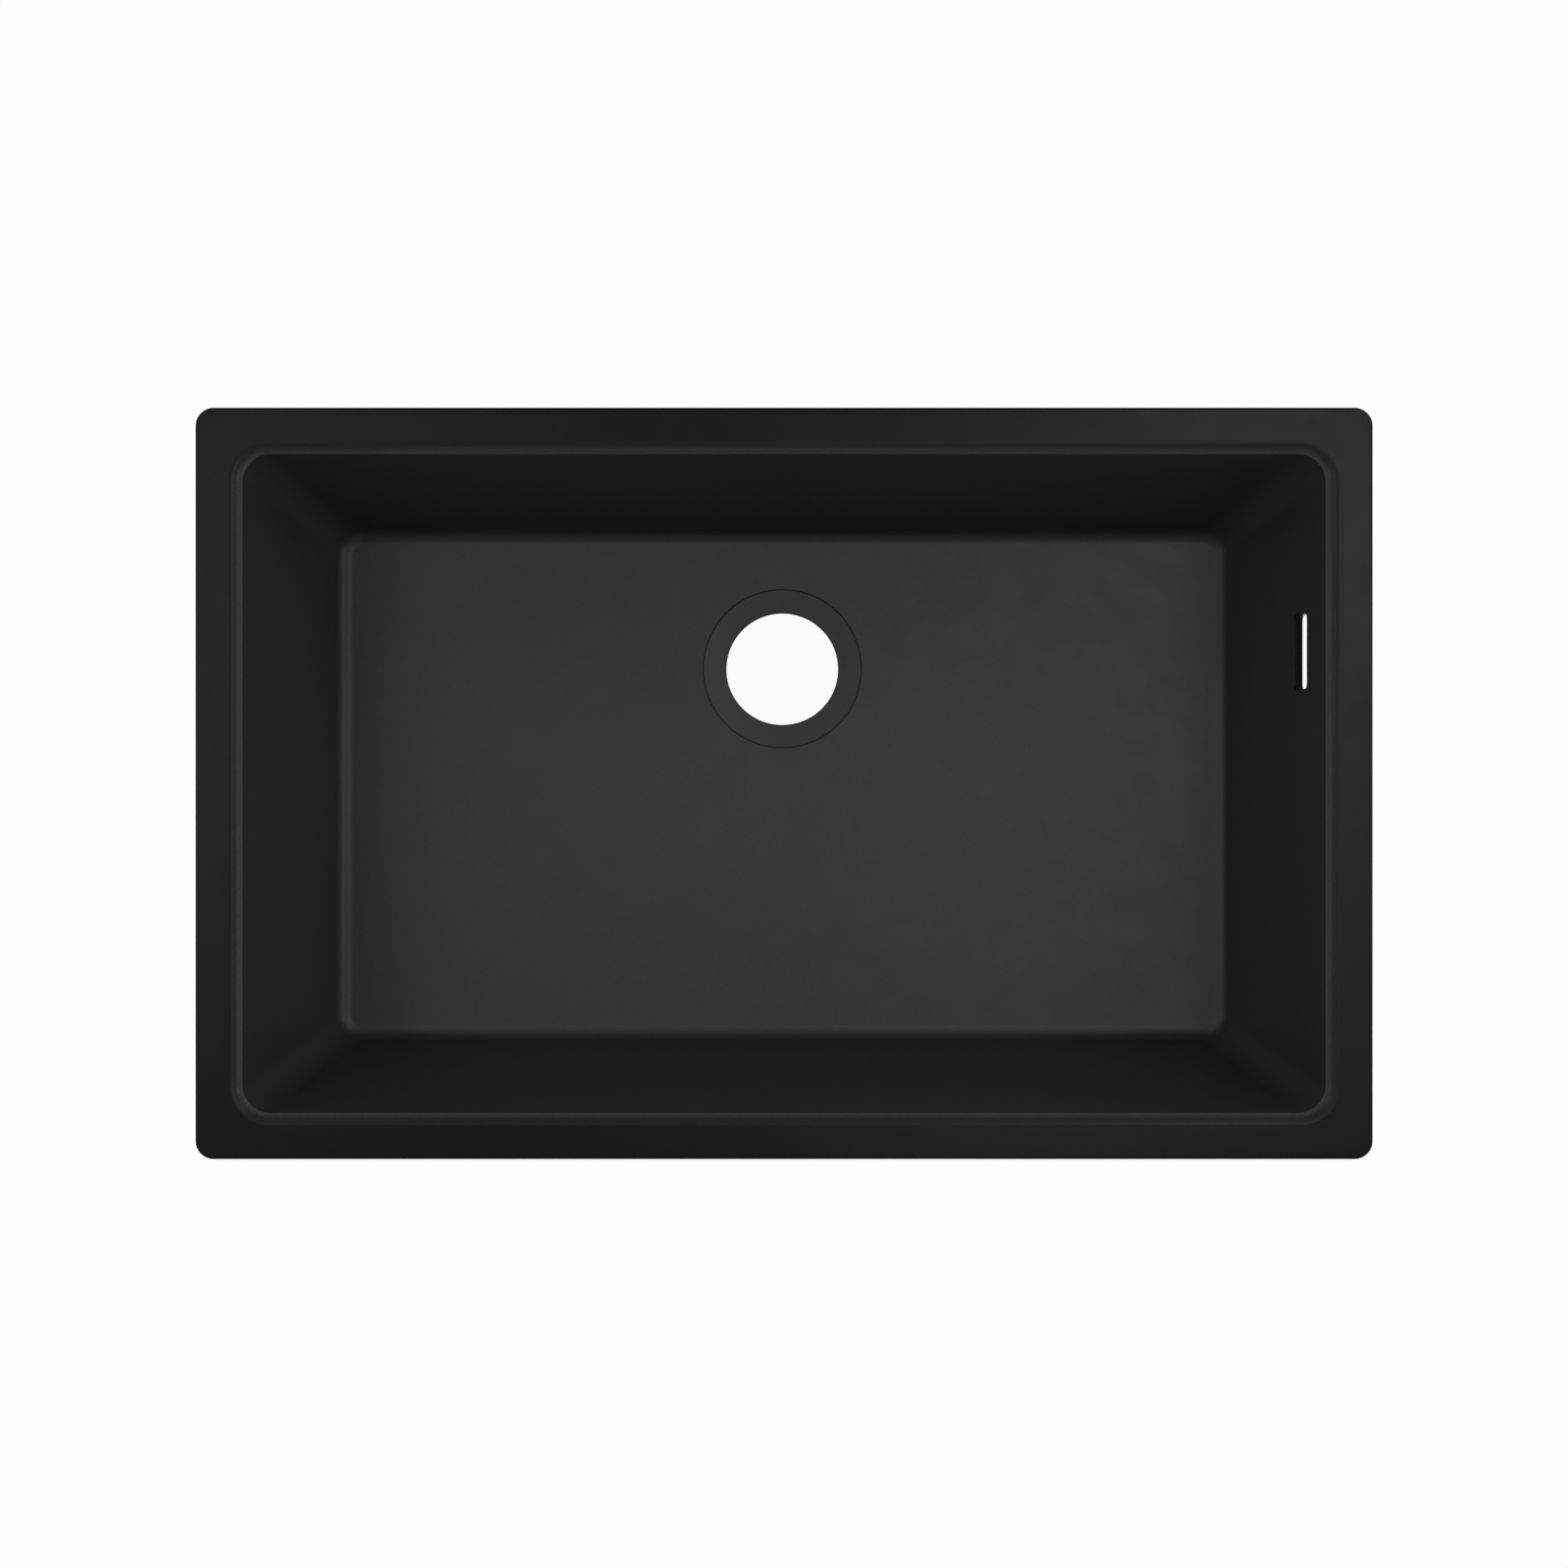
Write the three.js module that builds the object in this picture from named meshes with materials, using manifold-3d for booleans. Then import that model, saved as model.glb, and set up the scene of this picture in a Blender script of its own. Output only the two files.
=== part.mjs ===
// Undermount kitchen sink: one bowl cast in black stone composite, hung under a worktop by ten swing lugs.
// Millimetres, +Z up, +X to the user's right, +Y to the back. The origin is the centre of the underside,
// on the surface that the sink stands on before it is fitted.
import * as THREE from 'three';
import { mergeVertices } from 'three/addons/utils/BufferGeometryUtils.js';
import Module from 'manifold-3d';

// ---- The rim and the bowl ----
const RIM_LENGTH = 838;             // along X
const RIM_WIDTH = 535;              // along Y
const RIM_CORNER_RADIUS = 13;
const RIM_HEIGHT = 230;             // top of the rim above the foot pads
const RIM_THICKNESS = 10;
const RIM_TOP_ROUND = 2;            // rounding of the rim's outer top edge
const RIM_UNDER_CHAMFER = 1;
const RIM_LAND = 23.8;              // flat band from the outer edge to the start of the lip
const LIP_RADIUS = 8.5;
const DRAFT = THREE.MathUtils.degToRad(9);
const WALL = 9;
const BOWL_CORNER_RADIUS = 20;      // vertical corners, measured on the inner wall
const FLOOR_FILLET = 12;
const FLOOR_HEIGHT = 12;            // inner floor above the foot pads, at the drain's recess
const FLOOR_THICKNESS = 9;          // there too
const FLOOR_SLOPE = 0.008;          // the floor's rise away from the recess, all round
const UNDER_FILLET = 16;            // outer bottom edge
const NECK_FILLET = 6;              // between the outer wall and the underside of the rim

// ---- The drain and the overflow ----
const DRAIN_DIAMETER = 90;          // takes a 3 1/2 inch strainer
const DRAIN_BACK = 93.4;            // centre of the drain, behind the middle of the bowl
const RECESS_DIAMETER = 128;
const RECESS_STEP = 1.5;
const RECESS_DISH = 2.2;            // further fall of the dished recess, from its rim to the hole
const DRAIN_EDGE_CHAMFER = 0.6;
const DRAIN_PAD_DIAMETER = 132;     // raised ring round the hole, on the underside
const PAD_DRAFT = 2;                // a raised pad is this much wider where it leaves the underside
const OVERFLOW_BACK = 97;           // centre of the overflow, behind the middle of the bowl
const OVERFLOW_LENGTH = 55;         // along Y
const OVERFLOW_HEIGHT = 25;
const OVERFLOW_DROP = 43;           // rim to the top of the overflow
const OVERFLOW_CORNER_RADIUS = 4;
const OVERFLOW_WALL = 7;            // wall left where the overflow's seat is cut into the outside
const SEAT_MARGIN_Y = 20;           // the seat reaches this far past the overflow at each end
const SEAT_MARGIN_Z = 9;

// ---- The foot pads ----
const FOOT_DIAMETER = 44;
const FOOT_END_MARGIN = 149;        // centre of a foot to the rim's nearest end
const FOOT_SIDE_MARGIN = 137.5;     // and to its nearest long side

// ---- The swing lugs that hold the sink ----
const FIT_GAP = 0.3;                // clearance between two pieces that meet
const LUG_INSET = 12.5;             // pivot to the rim's outer edge
const LUG_END_MARGIN = 149;         // outer pivots of a long side to the rim's nearest end
const LUG_SIDE_MARGIN = 97.5;       // pivots of an end to the rim's nearest long side
const BOSS_DROP = 14;               // boss below the underside of the rim
const BOSS_WALL = 3.5;
const WEB_THICKNESS = 8;            // rib from the boss to the bowl's outer wall
const BOLT_DIAMETER = 6;
const BOLT_LENGTH = 18;             // under the head
const BOLT_HEX = 10;                // across the flats
const BOLT_HEX_HEIGHT = 4.4;
const BOLT_FLANGE_DIAMETER = 13;
const BOLT_FLANGE_THICKNESS = 1.4;
const INSERT_DIAMETER = 10;
const INSERT_LENGTH = 12;
const SLIP_WASHER_DIAMETER = 16;
const SLIP_WASHER_THICKNESS = 1.2;
const SPRING_WASHER_DIAMETER = 11;
const SPRING_WASHER_THICKNESS = 1.6;
const SPRING_WASHER_SPLIT = 1.4;
const LUG_WIDTH = 18;
const LUG_THICKNESS = 3;
const LUG_REACH = 53;               // pivot to tip
const LUG_JOG = 5;                  // the tab stands this much above the pivot end
const LUG_JOG_START = 13;           // pivot to the start of the slope
const LUG_JOG_RUN = 6;
const LUG_TIP_RADIUS = 6;
const LUG_STOP_GAP = 0.6;           // between the lug's square shoulder and the bowl when it is swung out
const SLOT_WIDTH = 7;
const SLOT_LENGTH = 22;
const SLOT_TIP_MARGIN = 6;          // slot's end to the tip

// ---- Steps of the round stretches ----
const CORNER_STEPS = 5;
const ARC_STEPS = 4;
const DRAIN_STEP = THREE.MathUtils.degToRad(12);
const QUARTER_STEPS = 4;            // sides to a quarter turn of a small round part

const wasm = await Module();
wasm.setup();

// A closed mesh as a solid, with its shared vertices merged.
function solidOf(geometry) {
  const bare = new THREE.BufferGeometry().setAttribute('position', geometry.getAttribute('position'));
  if (geometry.index) bare.setIndex(geometry.index);
  const merged = mergeVertices(bare, 1e-4);
  return new wasm.Manifold(new wasm.Mesh({
    numProp: 3,
    vertProperties: new Float32Array(merged.attributes.position.array),
    triVerts: new Uint32Array(merged.index.array),
  }));
}

// A solid back as a mesh with flat faces.
function geometryOf(solid) {
  const mesh = solid.getMesh();
  const points = new Float32Array(mesh.numVert * 3);
  for (let i = 0; i < mesh.numVert; i++) {
    points.set(mesh.vertProperties.subarray(i * mesh.numProp, i * mesh.numProp + 3), i * 3);
  }
  const geometry = new THREE.BufferGeometry().setAttribute('position', new THREE.BufferAttribute(points, 3));
  geometry.setIndex(new THREE.BufferAttribute(mesh.triVerts, 1));
  const flat = geometry.toNonIndexed();
  flat.computeVertexNormals();
  return flat;
}

const QUARTER = Math.PI / 2;
const steps = (count) => Array.from({ length: count + 1 }, (_, i) => i / count);

// A round bar along Z.
function bar(radius, bottom, top, sides = 4 * QUARTER_STEPS) {
  return new THREE.CylinderGeometry(radius, radius, top - bottom, sides)
    .rotateX(QUARTER)
    .translate(0, 0, (bottom + top) / 2);
}

// A flat shape raised from bottom to top.
function plate(shape, bottom, top) {
  const settings = { depth: top - bottom, bevelEnabled: false };
  return new THREE.ExtrudeGeometry(shape, settings).translate(0, 0, bottom);
}

// The points of an arc in plan, both ends included.
function arc(x, y, radius, from, to) {
  const count = Math.ceil(QUARTER_STEPS * Math.abs(to - from) / QUARTER - 1e-6);
  return steps(count).map((t) => {
    const a = THREE.MathUtils.lerp(from, to, t);
    return new THREE.Vector2(x + radius * Math.cos(a), y + radius * Math.sin(a));
  });
}

const circle = (radius) => arc(0, 0, radius, 0, 4 * QUARTER).slice(1);

// A flat ring.
function washer(radius, hole, bottom, top) {
  const ring = new THREE.Shape(circle(radius));
  ring.holes.push(new THREE.Path(circle(hole)));
  return plate(ring, bottom, top);
}

// A rectangle with round corners, centred on the origin.
function roundedRectangle(length, height, radius) {
  const x = length / 2 - radius;
  const y = height / 2 - radius;
  return new THREE.Shape([
    ...arc(x, y, radius, 0, QUARTER),
    ...arc(-x, y, radius, QUARTER, 2 * QUARTER),
    ...arc(-x, -y, radius, 2 * QUARTER, 3 * QUARTER),
    ...arc(x, -y, radius, 3 * QUARTER, 4 * QUARTER),
  ]);
}

// ---- The bowl's section: how far each surface stands in from the rim's outer edge, at a height ----
const lipCentre = RIM_HEIGHT - LIP_RADIUS;
const wallTop = {
  inset: RIM_LAND + LIP_RADIUS * Math.cos(DRAFT),
  z: lipCentre + LIP_RADIUS * Math.sin(DRAFT),
};
const innerInset = (z) => wallTop.inset + (wallTop.z - z) * Math.tan(DRAFT);
const outerInset = (z) => innerInset(z) - WALL / Math.cos(DRAFT);
const outerCornerRadius = BOWL_CORNER_RADIUS + WALL / Math.cos(DRAFT);
const underside = FLOOR_HEIGHT - FLOOR_THICKNESS;
const rimUnderside = RIM_HEIGHT - RIM_THICKNESS;

// One level of the section: its inset, its height and the radius of its corners.
const level = (inset, z, radius) => ({ inset, z, radius });

// The inner floor's fillet, from the wall down to the floor.
const floorFilletLow = FLOOR_HEIGHT + FLOOR_FILLET * (1 - Math.sin(DRAFT));
const floorFilletCentre = innerInset(floorFilletLow) + FLOOR_FILLET * Math.cos(DRAFT);
const floorFillet = steps(ARC_STEPS).map((t) => {
  const a = THREE.MathUtils.lerp(DRAFT, QUARTER, t);
  const inset = floorFilletCentre - FLOOR_FILLET * Math.cos(a);
  const z = FLOOR_HEIGHT + FLOOR_FILLET * (1 - Math.sin(a));
  return level(inset, z, BOWL_CORNER_RADIUS - (inset - innerInset(floorFilletLow)));
});

// The outer bottom edge, from the underside up to the outer wall.
const underFilletTop = underside + UNDER_FILLET * (1 - Math.sin(DRAFT));
const underFilletCentre = outerInset(underFilletTop) + UNDER_FILLET * Math.cos(DRAFT);
const underFillet = steps(ARC_STEPS).map((t) => {
  const a = t * (QUARTER - DRAFT);
  const inset = underFilletCentre - UNDER_FILLET * Math.sin(a);
  const z = underside + UNDER_FILLET * (1 - Math.cos(a));
  return level(inset, z, outerCornerRadius - (inset - outerInset(underFilletTop)));
});

// The hollow fillet where the outer wall meets the rim.
const neckLow = rimUnderside - NECK_FILLET * (1 + Math.sin(DRAFT));
const neckCentre = outerInset(neckLow) - NECK_FILLET * Math.cos(DRAFT);
const neck = steps(3).map((t) => {
  const a = THREE.MathUtils.lerp(-DRAFT, QUARTER, t);
  const inset = neckCentre + NECK_FILLET * Math.cos(a);
  const z = rimUnderside - NECK_FILLET * (1 - Math.sin(a));
  return level(inset, z, outerCornerRadius + outerInset(neckLow) - inset);
});

// The rim's outer edge, from its chamfered foot to its rounded top.
const rimEdge = [
  level(RIM_UNDER_CHAMFER, rimUnderside, RIM_CORNER_RADIUS - RIM_UNDER_CHAMFER),
  level(0, rimUnderside + RIM_UNDER_CHAMFER, RIM_CORNER_RADIUS),
  ...steps(2).map((t) => {
    const inset = RIM_TOP_ROUND * (1 - Math.cos(t * QUARTER));
    const z = RIM_HEIGHT - RIM_TOP_ROUND * (1 - Math.sin(t * QUARTER));
    return level(inset, z, RIM_CORNER_RADIUS - inset);
  }),
];

// The rounded lip, from the rim's flat top down to the inner wall.
const lip = steps(ARC_STEPS).map((t) => {
  const a = t * (QUARTER - DRAFT);
  const inset = RIM_LAND + LIP_RADIUS * Math.sin(a);
  return level(inset, lipCentre + LIP_RADIUS * Math.cos(a), BOWL_CORNER_RADIUS + wallTop.inset - inset);
});

// ---- The bowl as a surface: every level has the same points, round its corners and along its sides ----
const floorEdge = floorFillet[ARC_STEPS];
const floorHalfX = RIM_LENGTH / 2 - floorEdge.inset;
const floorHalfY = RIM_WIDTH / 2 - floorEdge.inset;

// Where a side's points lie, from 0 to 1: at equal angles seen from the drain.
function sideFractions(from, to, distance) {
  const a = Math.atan(from / distance);
  const b = Math.atan(to / distance);
  const count = Math.max(2, Math.round((b - a) / DRAIN_STEP));
  return steps(count).slice(1, -1).map((t) => {
    const reach = distance * Math.tan(THREE.MathUtils.lerp(a, b, t));
    return (reach - from) / (to - from);
  });
}

const backSide = sideFractions(-floorHalfX, floorHalfX, floorHalfY - DRAIN_BACK);
const frontSide = sideFractions(-floorHalfX, floorHalfX, floorHalfY + DRAIN_BACK);
const leftSide = sideFractions(DRAIN_BACK - floorHalfY, DRAIN_BACK + floorHalfY, floorHalfX);
const rightSide = leftSide.map((t) => 1 - t).reverse();

// A point's place on every level, counter-clockwise from the back right corner: u and v say where its
// corner's centre lies, or how far along a side it is, and a is the direction that it faces.
const corners = [[1, 1], [-1, 1], [-1, -1], [1, -1]];
const around = [backSide, leftSide, frontSide, rightSide].flatMap((side, quarter) => {
  const [u, v] = corners[quarter];
  const [nextU, nextV] = corners[(quarter + 1) % 4];
  const corner = steps(CORNER_STEPS).map((t) => ({ u, v, a: (quarter + t) * QUARTER }));
  const straight = side.map((t) => ({
    u: THREE.MathUtils.lerp(u, nextU, t),
    v: THREE.MathUtils.lerp(v, nextV, t),
    a: (quarter + 1) * QUARTER,
  }));
  return [...corner, ...straight];
});

function rectangleRing({ inset, z, radius }) {
  const x = RIM_LENGTH / 2 - inset - radius;
  const y = RIM_WIDTH / 2 - inset - radius;
  return around.map(({ u, v, a }) => {
    return new THREE.Vector3(x * u + radius * Math.cos(a), y * v + radius * Math.sin(a), z);
  });
}

// The floor rises away from the drain, and the fillet rises with it, up along the leaning wall.
const floorRise = rectangleRing(floorEdge).map((p) => {
  return FLOOR_SLOPE * (Math.hypot(p.x, p.y - DRAIN_BACK) - RECESS_DIAMETER / 2);
});

function filletRing(at) {
  return rectangleRing(at).map((p, i) => {
    const out = floorRise[i] * Math.tan(DRAFT);
    return p.add(new THREE.Vector3(out * Math.cos(around[i].a), out * Math.sin(around[i].a), floorRise[i]));
  });
}

// A circle round the drain, with its points towards those of the floor's edge.
const bearings = filletRing(floorEdge).map((p) => Math.atan2(p.y - DRAIN_BACK, p.x));
function drainRing(radius, z) {
  return bearings.map((a) => new THREE.Vector3(radius * Math.cos(a), DRAIN_BACK + radius * Math.sin(a), z));
}

// A closed tube of rings: each ring joins the next, and the last joins the first.
function ringTube(rings) {
  const around = rings[0].length;
  const at = (i, j) => (i % rings.length) * around + (j % around);
  const index = [];
  rings.forEach((_, i) => {
    for (let j = 0; j < around; j++) {
      index.push(at(i, j), at(i, j + 1), at(i + 1, j));
      index.push(at(i, j + 1), at(i + 1, j + 1), at(i + 1, j));
    }
  });
  const geometry = new THREE.BufferGeometry().setFromPoints(rings.flat());
  geometry.setIndex(index);
  return geometry;
}

function bowlShell() {
  const hole = DRAIN_DIAMETER / 2;
  const recessFoot = FLOOR_HEIGHT - RECESS_STEP;
  const holeTop = recessFoot - RECESS_DISH;
  return solidOf(ringTube([
    drainRing(hole, 0),
    drainRing(DRAIN_PAD_DIAMETER / 2, 0),
    drainRing(DRAIN_PAD_DIAMETER / 2 + PAD_DRAFT, underside),
    ...[...underFillet, ...neck, ...rimEdge, ...lip].map(rectangleRing),
    ...floorFillet.map(filletRing),
    drainRing(RECESS_DIAMETER / 2, FLOOR_HEIGHT),
    drainRing(RECESS_DIAMETER / 2 - RECESS_STEP / 2, recessFoot),
    drainRing(hole + DRAIN_EDGE_CHAMFER, holeTop),
    drainRing(hole, holeTop - DRAIN_EDGE_CHAMFER),
  ]));
}

// ---- Where the lugs pivot ----
const sideX = RIM_LENGTH / 2 - LUG_INSET;
const sideY = RIM_WIDTH / 2 - LUG_INSET;
const lugX = RIM_LENGTH / 2 - LUG_END_MARGIN;
const lugY = RIM_WIDTH / 2 - LUG_SIDE_MARGIN;
const longSide = [['left', -lugX], ['middle', 0], ['right', lugX]];
const shortSide = [['front', -lugY], ['back', lugY]];
// turn is the direction of a parked lug about Z; swung out by a quarter turn, it points away from the bowl.
const stations = [
  ...longSide.map(([place, x]) => ({ name: `front_${place}`, x, y: -sideY, turn: 2 * QUARTER })),
  ...shortSide.map(([place, y]) => ({ name: `right_${place}`, x: sideX, y, turn: -QUARTER })),
  ...longSide.map(([place, x]) => ({ name: `back_${place}`, x, y: sideY, turn: 0 })),
  ...shortSide.map(([place, y]) => ({ name: `left_${place}`, x: -sideX, y, turn: QUARTER })),
];

// The stack on a pivot, from the boss down to the bolt's head.
const bossFace = rimUnderside - BOSS_DROP;
const slipWasherTop = bossFace - FIT_GAP;
const lugTop = slipWasherTop - SLIP_WASHER_THICKNESS - FIT_GAP;
const springWasherTop = lugTop - LUG_THICKNESS - FIT_GAP;
const boltSeat = springWasherTop - SPRING_WASHER_THICKNESS - FIT_GAP;
const boltEnd = boltSeat + BOLT_LENGTH;
const boltHole = BOLT_DIAMETER / 2 + FIT_GAP;
const insertHole = INSERT_DIAMETER / 2 + FIT_GAP;
const insertTop = bossFace + INSERT_LENGTH;
const boreTop = Math.max(insertTop, boltEnd) + FIT_GAP;
const toWall = (z) => outerInset(z) - LUG_INSET;

// A boss under the rim, with its web to the bowl's wall. Locally, +X is the parked lug and -Y is the bowl.
function boss() {
  const round = bar(INSERT_DIAMETER / 2 + BOSS_WALL, bossFace, rimUnderside + RIM_THICKNESS / 2);
  const webEnd = toWall(rimUnderside) + WALL / 2;
  const web = new THREE.BoxGeometry(WEB_THICKNESS, webEnd, BOSS_DROP + RIM_THICKNESS / 2)
    .translate(0, -webEnd / 2, (bossFace + rimUnderside + RIM_THICKNESS / 2) / 2);
  return solidOf(round).add(solidOf(web));
}

// A solid moved from the pivot's own place to a station.
function placed(solid, { x, y, turn }) {
  return solid.rotate([0, 0, THREE.MathUtils.radToDeg(turn)]).translate([x, y, 0]);
}

// The flat seat outside the overflow, cut so that the wall there is OVERFLOW_WALL thick.
function overflowSeat(middle) {
  const height = OVERFLOW_HEIGHT + 2 * SEAT_MARGIN_Z;
  const outline = roundedRectangle(height, OVERFLOW_LENGTH + 2 * SEAT_MARGIN_Y, 2 * OVERFLOW_CORNER_RADIUS);
  const seat = plate(outline, OVERFLOW_WALL, OVERFLOW_WALL + 2 * WALL);
  const innerFace = RIM_LENGTH / 2 - innerInset(middle);
  return solidOf(seat.rotateY(QUARTER + DRAFT).translate(innerFace, OVERFLOW_BACK, middle));
}

// The overflow, cut level through the wall.
function overflowWindow(middle) {
  const outline = roundedRectangle(OVERFLOW_HEIGHT, OVERFLOW_LENGTH, OVERFLOW_CORNER_RADIUS);
  const window = plate(outline, -2 * WALL, 2 * WALL);
  const innerFace = RIM_LENGTH / 2 - innerInset(middle);
  return solidOf(window.rotateY(QUARTER).translate(innerFace, OVERFLOW_BACK, middle));
}

function bowl() {
  const middle = RIM_HEIGHT - OVERFLOW_DROP - OVERFLOW_HEIGHT / 2;
  let shell = bowlShell().subtract(overflowSeat(middle)).subtract(overflowWindow(middle));
  const footX = RIM_LENGTH / 2 - FOOT_END_MARGIN;
  const footY = RIM_WIDTH / 2 - FOOT_SIDE_MARGIN;
  for (const x of [-footX, footX]) {
    for (const y of [-footY, footY]) {
      const foot = bar(FOOT_DIAMETER / 2, 0, underside + FLOOR_THICKNESS / 2).translate(x, y, 0);
      shell = shell.add(solidOf(foot));
    }
  }
  for (const station of stations) {
    const bore = solidOf(bar(insertHole, bossFace - BOSS_DROP, boreTop));
    shell = shell.add(placed(boss(), station)).subtract(placed(bore, station));
  }
  return geometryOf(shell);
}

// ---- The pieces on a pivot ----
const threadedInsert = () => washer(INSERT_DIAMETER / 2, boltHole, bossFace, insertTop);

const slipWasher = () => {
  return washer(SLIP_WASHER_DIAMETER / 2, boltHole, slipWasherTop - SLIP_WASHER_THICKNESS, slipWasherTop);
};

function springWasher() {
  const outer = SPRING_WASHER_DIAMETER / 2;
  const half = Math.asin(SPRING_WASHER_SPLIT / 2 / outer);
  const split = new THREE.Shape([
    ...arc(0, 0, outer, half, 4 * QUARTER - half),
    ...arc(0, 0, boltHole, 4 * QUARTER - half, half),
  ]);
  return plate(split, springWasherTop - SPRING_WASHER_THICKNESS, springWasherTop);
}

function bolt() {
  const hexFoot = boltSeat - BOLT_FLANGE_THICKNESS - BOLT_HEX_HEIGHT;
  const hexRadius = BOLT_HEX / 2 / Math.cos(Math.PI / 6);
  const flange = bar(BOLT_FLANGE_DIAMETER / 2, boltSeat - BOLT_FLANGE_THICKNESS, boltSeat);
  const shank = bar(BOLT_DIAMETER / 2, boltSeat - BOLT_FLANGE_THICKNESS, boltEnd);
  const hex = bar(hexRadius, hexFoot, boltSeat - BOLT_FLANGE_THICKNESS / 2, 6);
  return geometryOf(solidOf(flange).add(solidOf(shank)).add(solidOf(hex)));
}

// The lug in plan, pivot at the origin and tip along +X. The corner that sweeps past the bowl is round; the
// other is a square shoulder, which meets the bowl's wall when the lug has swung out.
function lugPlan() {
  const half = LUG_WIDTH / 2;
  const heel = toWall(lugTop) - LUG_STOP_GAP;
  const slotFar = LUG_REACH - SLOT_TIP_MARGIN - SLOT_WIDTH / 2;
  const slotNear = slotFar - (SLOT_LENGTH - SLOT_WIDTH);
  const tip = LUG_REACH - LUG_TIP_RADIUS;
  const plan = new THREE.Shape([
    new THREE.Vector2(-heel, half),
    ...arc(half - heel, 0, half, 2 * QUARTER, 3 * QUARTER),
    ...arc(tip, LUG_TIP_RADIUS - half, LUG_TIP_RADIUS, -QUARTER, 0),
    ...arc(tip, half - LUG_TIP_RADIUS, LUG_TIP_RADIUS, 0, QUARTER),
  ]);
  const slot = new THREE.Path([
    ...arc(slotFar, 0, SLOT_WIDTH / 2, -QUARTER, QUARTER),
    ...arc(slotNear, 0, SLOT_WIDTH / 2, QUARTER, 3 * QUARTER),
  ]);
  plan.holes.push(new THREE.Path(circle(boltHole)), slot);
  return plan;
}

// The lug is its plan cut from a strip that steps up from the pivot end to the tab.
function lug() {
  const foot = lugTop - LUG_THICKNESS;
  const back = -2 * LUG_WIDTH;
  const front = LUG_REACH + LUG_WIDTH;
  const jogEnd = LUG_JOG_START + LUG_JOG_RUN;
  const strip = new THREE.Shape([
    new THREE.Vector2(back, foot),
    new THREE.Vector2(LUG_JOG_START, foot),
    new THREE.Vector2(jogEnd, foot + LUG_JOG),
    new THREE.Vector2(front, foot + LUG_JOG),
    new THREE.Vector2(front, lugTop + LUG_JOG),
    new THREE.Vector2(jogEnd, lugTop + LUG_JOG),
    new THREE.Vector2(LUG_JOG_START, lugTop),
    new THREE.Vector2(back, lugTop),
  ]);
  const across = plate(strip, -LUG_WIDTH, LUG_WIDTH).rotateX(QUARTER);
  const blank = plate(lugPlan(), foot - LUG_JOG, lugTop + 2 * LUG_JOG);
  return geometryOf(solidOf(blank).intersect(solidOf(across)));
}

// ---- Finishes and assembly ----
const composite = new THREE.MeshStandardMaterial({ color: 0x262727, roughness: 0.6, metalness: 0 });
const brass = new THREE.MeshStandardMaterial({ color: 0xb08d4a, roughness: 0.35, metalness: 1 });
const nylon = new THREE.MeshStandardMaterial({ color: 0xe4e1d6, roughness: 0.5, metalness: 0 });
const zincPlate = new THREE.MeshStandardMaterial({ color: 0xb4b7ba, roughness: 0.4, metalness: 1 });
const springSteel = new THREE.MeshStandardMaterial({ color: 0x6d6f72, roughness: 0.45, metalness: 1 });

function piece(name, geometry, finish) {
  const mesh = new THREE.Mesh(geometry, finish.clone());
  mesh.name = name;
  return mesh;
}

// One holding point: a threaded insert in its boss, and a lug that swings on a bolt between two washers.
function holdingPoint({ name, x, y, turn }) {
  const point = new THREE.Group();
  point.position.set(x, y, 0);
  point.rotation.z = turn;
  point.add(
    piece(`insert_${name}`, threadedInsert(), brass),
    piece(`slip_washer_${name}`, slipWasher(), nylon),
    piece(`lug_${name}`, lug(), zincPlate),
    piece(`spring_washer_${name}`, springWasher(), springSteel),
    piece(`bolt_${name}`, bolt(), zincPlate),
  );
  return point;
}

const sink = new THREE.Group();
sink.name = 'undermount_sink';
sink.add(piece('bowl', bowl(), composite));
for (const station of stations) sink.add(holdingPoint(station));

export default sink;
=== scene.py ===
# An undermount kitchen sink: one bowl cast in matt black stone composite, with ten swing lugs under its rim.
# Metres, +Z up, +X to the user's right and +Y to the back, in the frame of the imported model.
import math

import bmesh
import bpy
import numpy as np
from mathutils import Matrix, Vector


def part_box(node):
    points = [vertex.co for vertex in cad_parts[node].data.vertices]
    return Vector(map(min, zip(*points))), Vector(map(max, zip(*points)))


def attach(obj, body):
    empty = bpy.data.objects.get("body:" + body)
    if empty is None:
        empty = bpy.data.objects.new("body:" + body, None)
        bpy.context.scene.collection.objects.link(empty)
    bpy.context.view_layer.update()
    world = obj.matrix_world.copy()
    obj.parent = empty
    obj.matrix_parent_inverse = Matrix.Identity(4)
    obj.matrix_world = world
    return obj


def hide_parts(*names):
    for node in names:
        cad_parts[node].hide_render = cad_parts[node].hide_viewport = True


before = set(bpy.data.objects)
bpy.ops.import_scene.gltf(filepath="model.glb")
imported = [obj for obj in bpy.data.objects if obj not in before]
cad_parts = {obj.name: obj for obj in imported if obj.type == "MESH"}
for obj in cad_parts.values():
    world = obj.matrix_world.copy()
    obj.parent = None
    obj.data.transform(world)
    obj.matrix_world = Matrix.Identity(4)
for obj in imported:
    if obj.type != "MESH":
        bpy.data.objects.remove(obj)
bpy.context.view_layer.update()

scene = bpy.context.scene
scene.view_settings.view_transform = "Standard"
MM = 0.001

# ---- The view ----
# The sink lies open before it is fitted, seen from straight above by a camera 1.7 m over its rim. The camera
# stands a little to the left of the middle and to the front, and its lens is shifted to frame the whole rim.
bowl_low, bowl_high = (np.array(corner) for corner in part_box("bowl"))
RIM_TOP = bowl_high[2]
CAMERA_OVER_RIM = 1.693
CAMERA_LEFT = 0.011
CAMERA_FRONT = 0.010
FOCAL_LENGTH = 54.66
SHIFT_RIGHT = 0.0098
SHIFT_BACK = 0.0086

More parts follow.
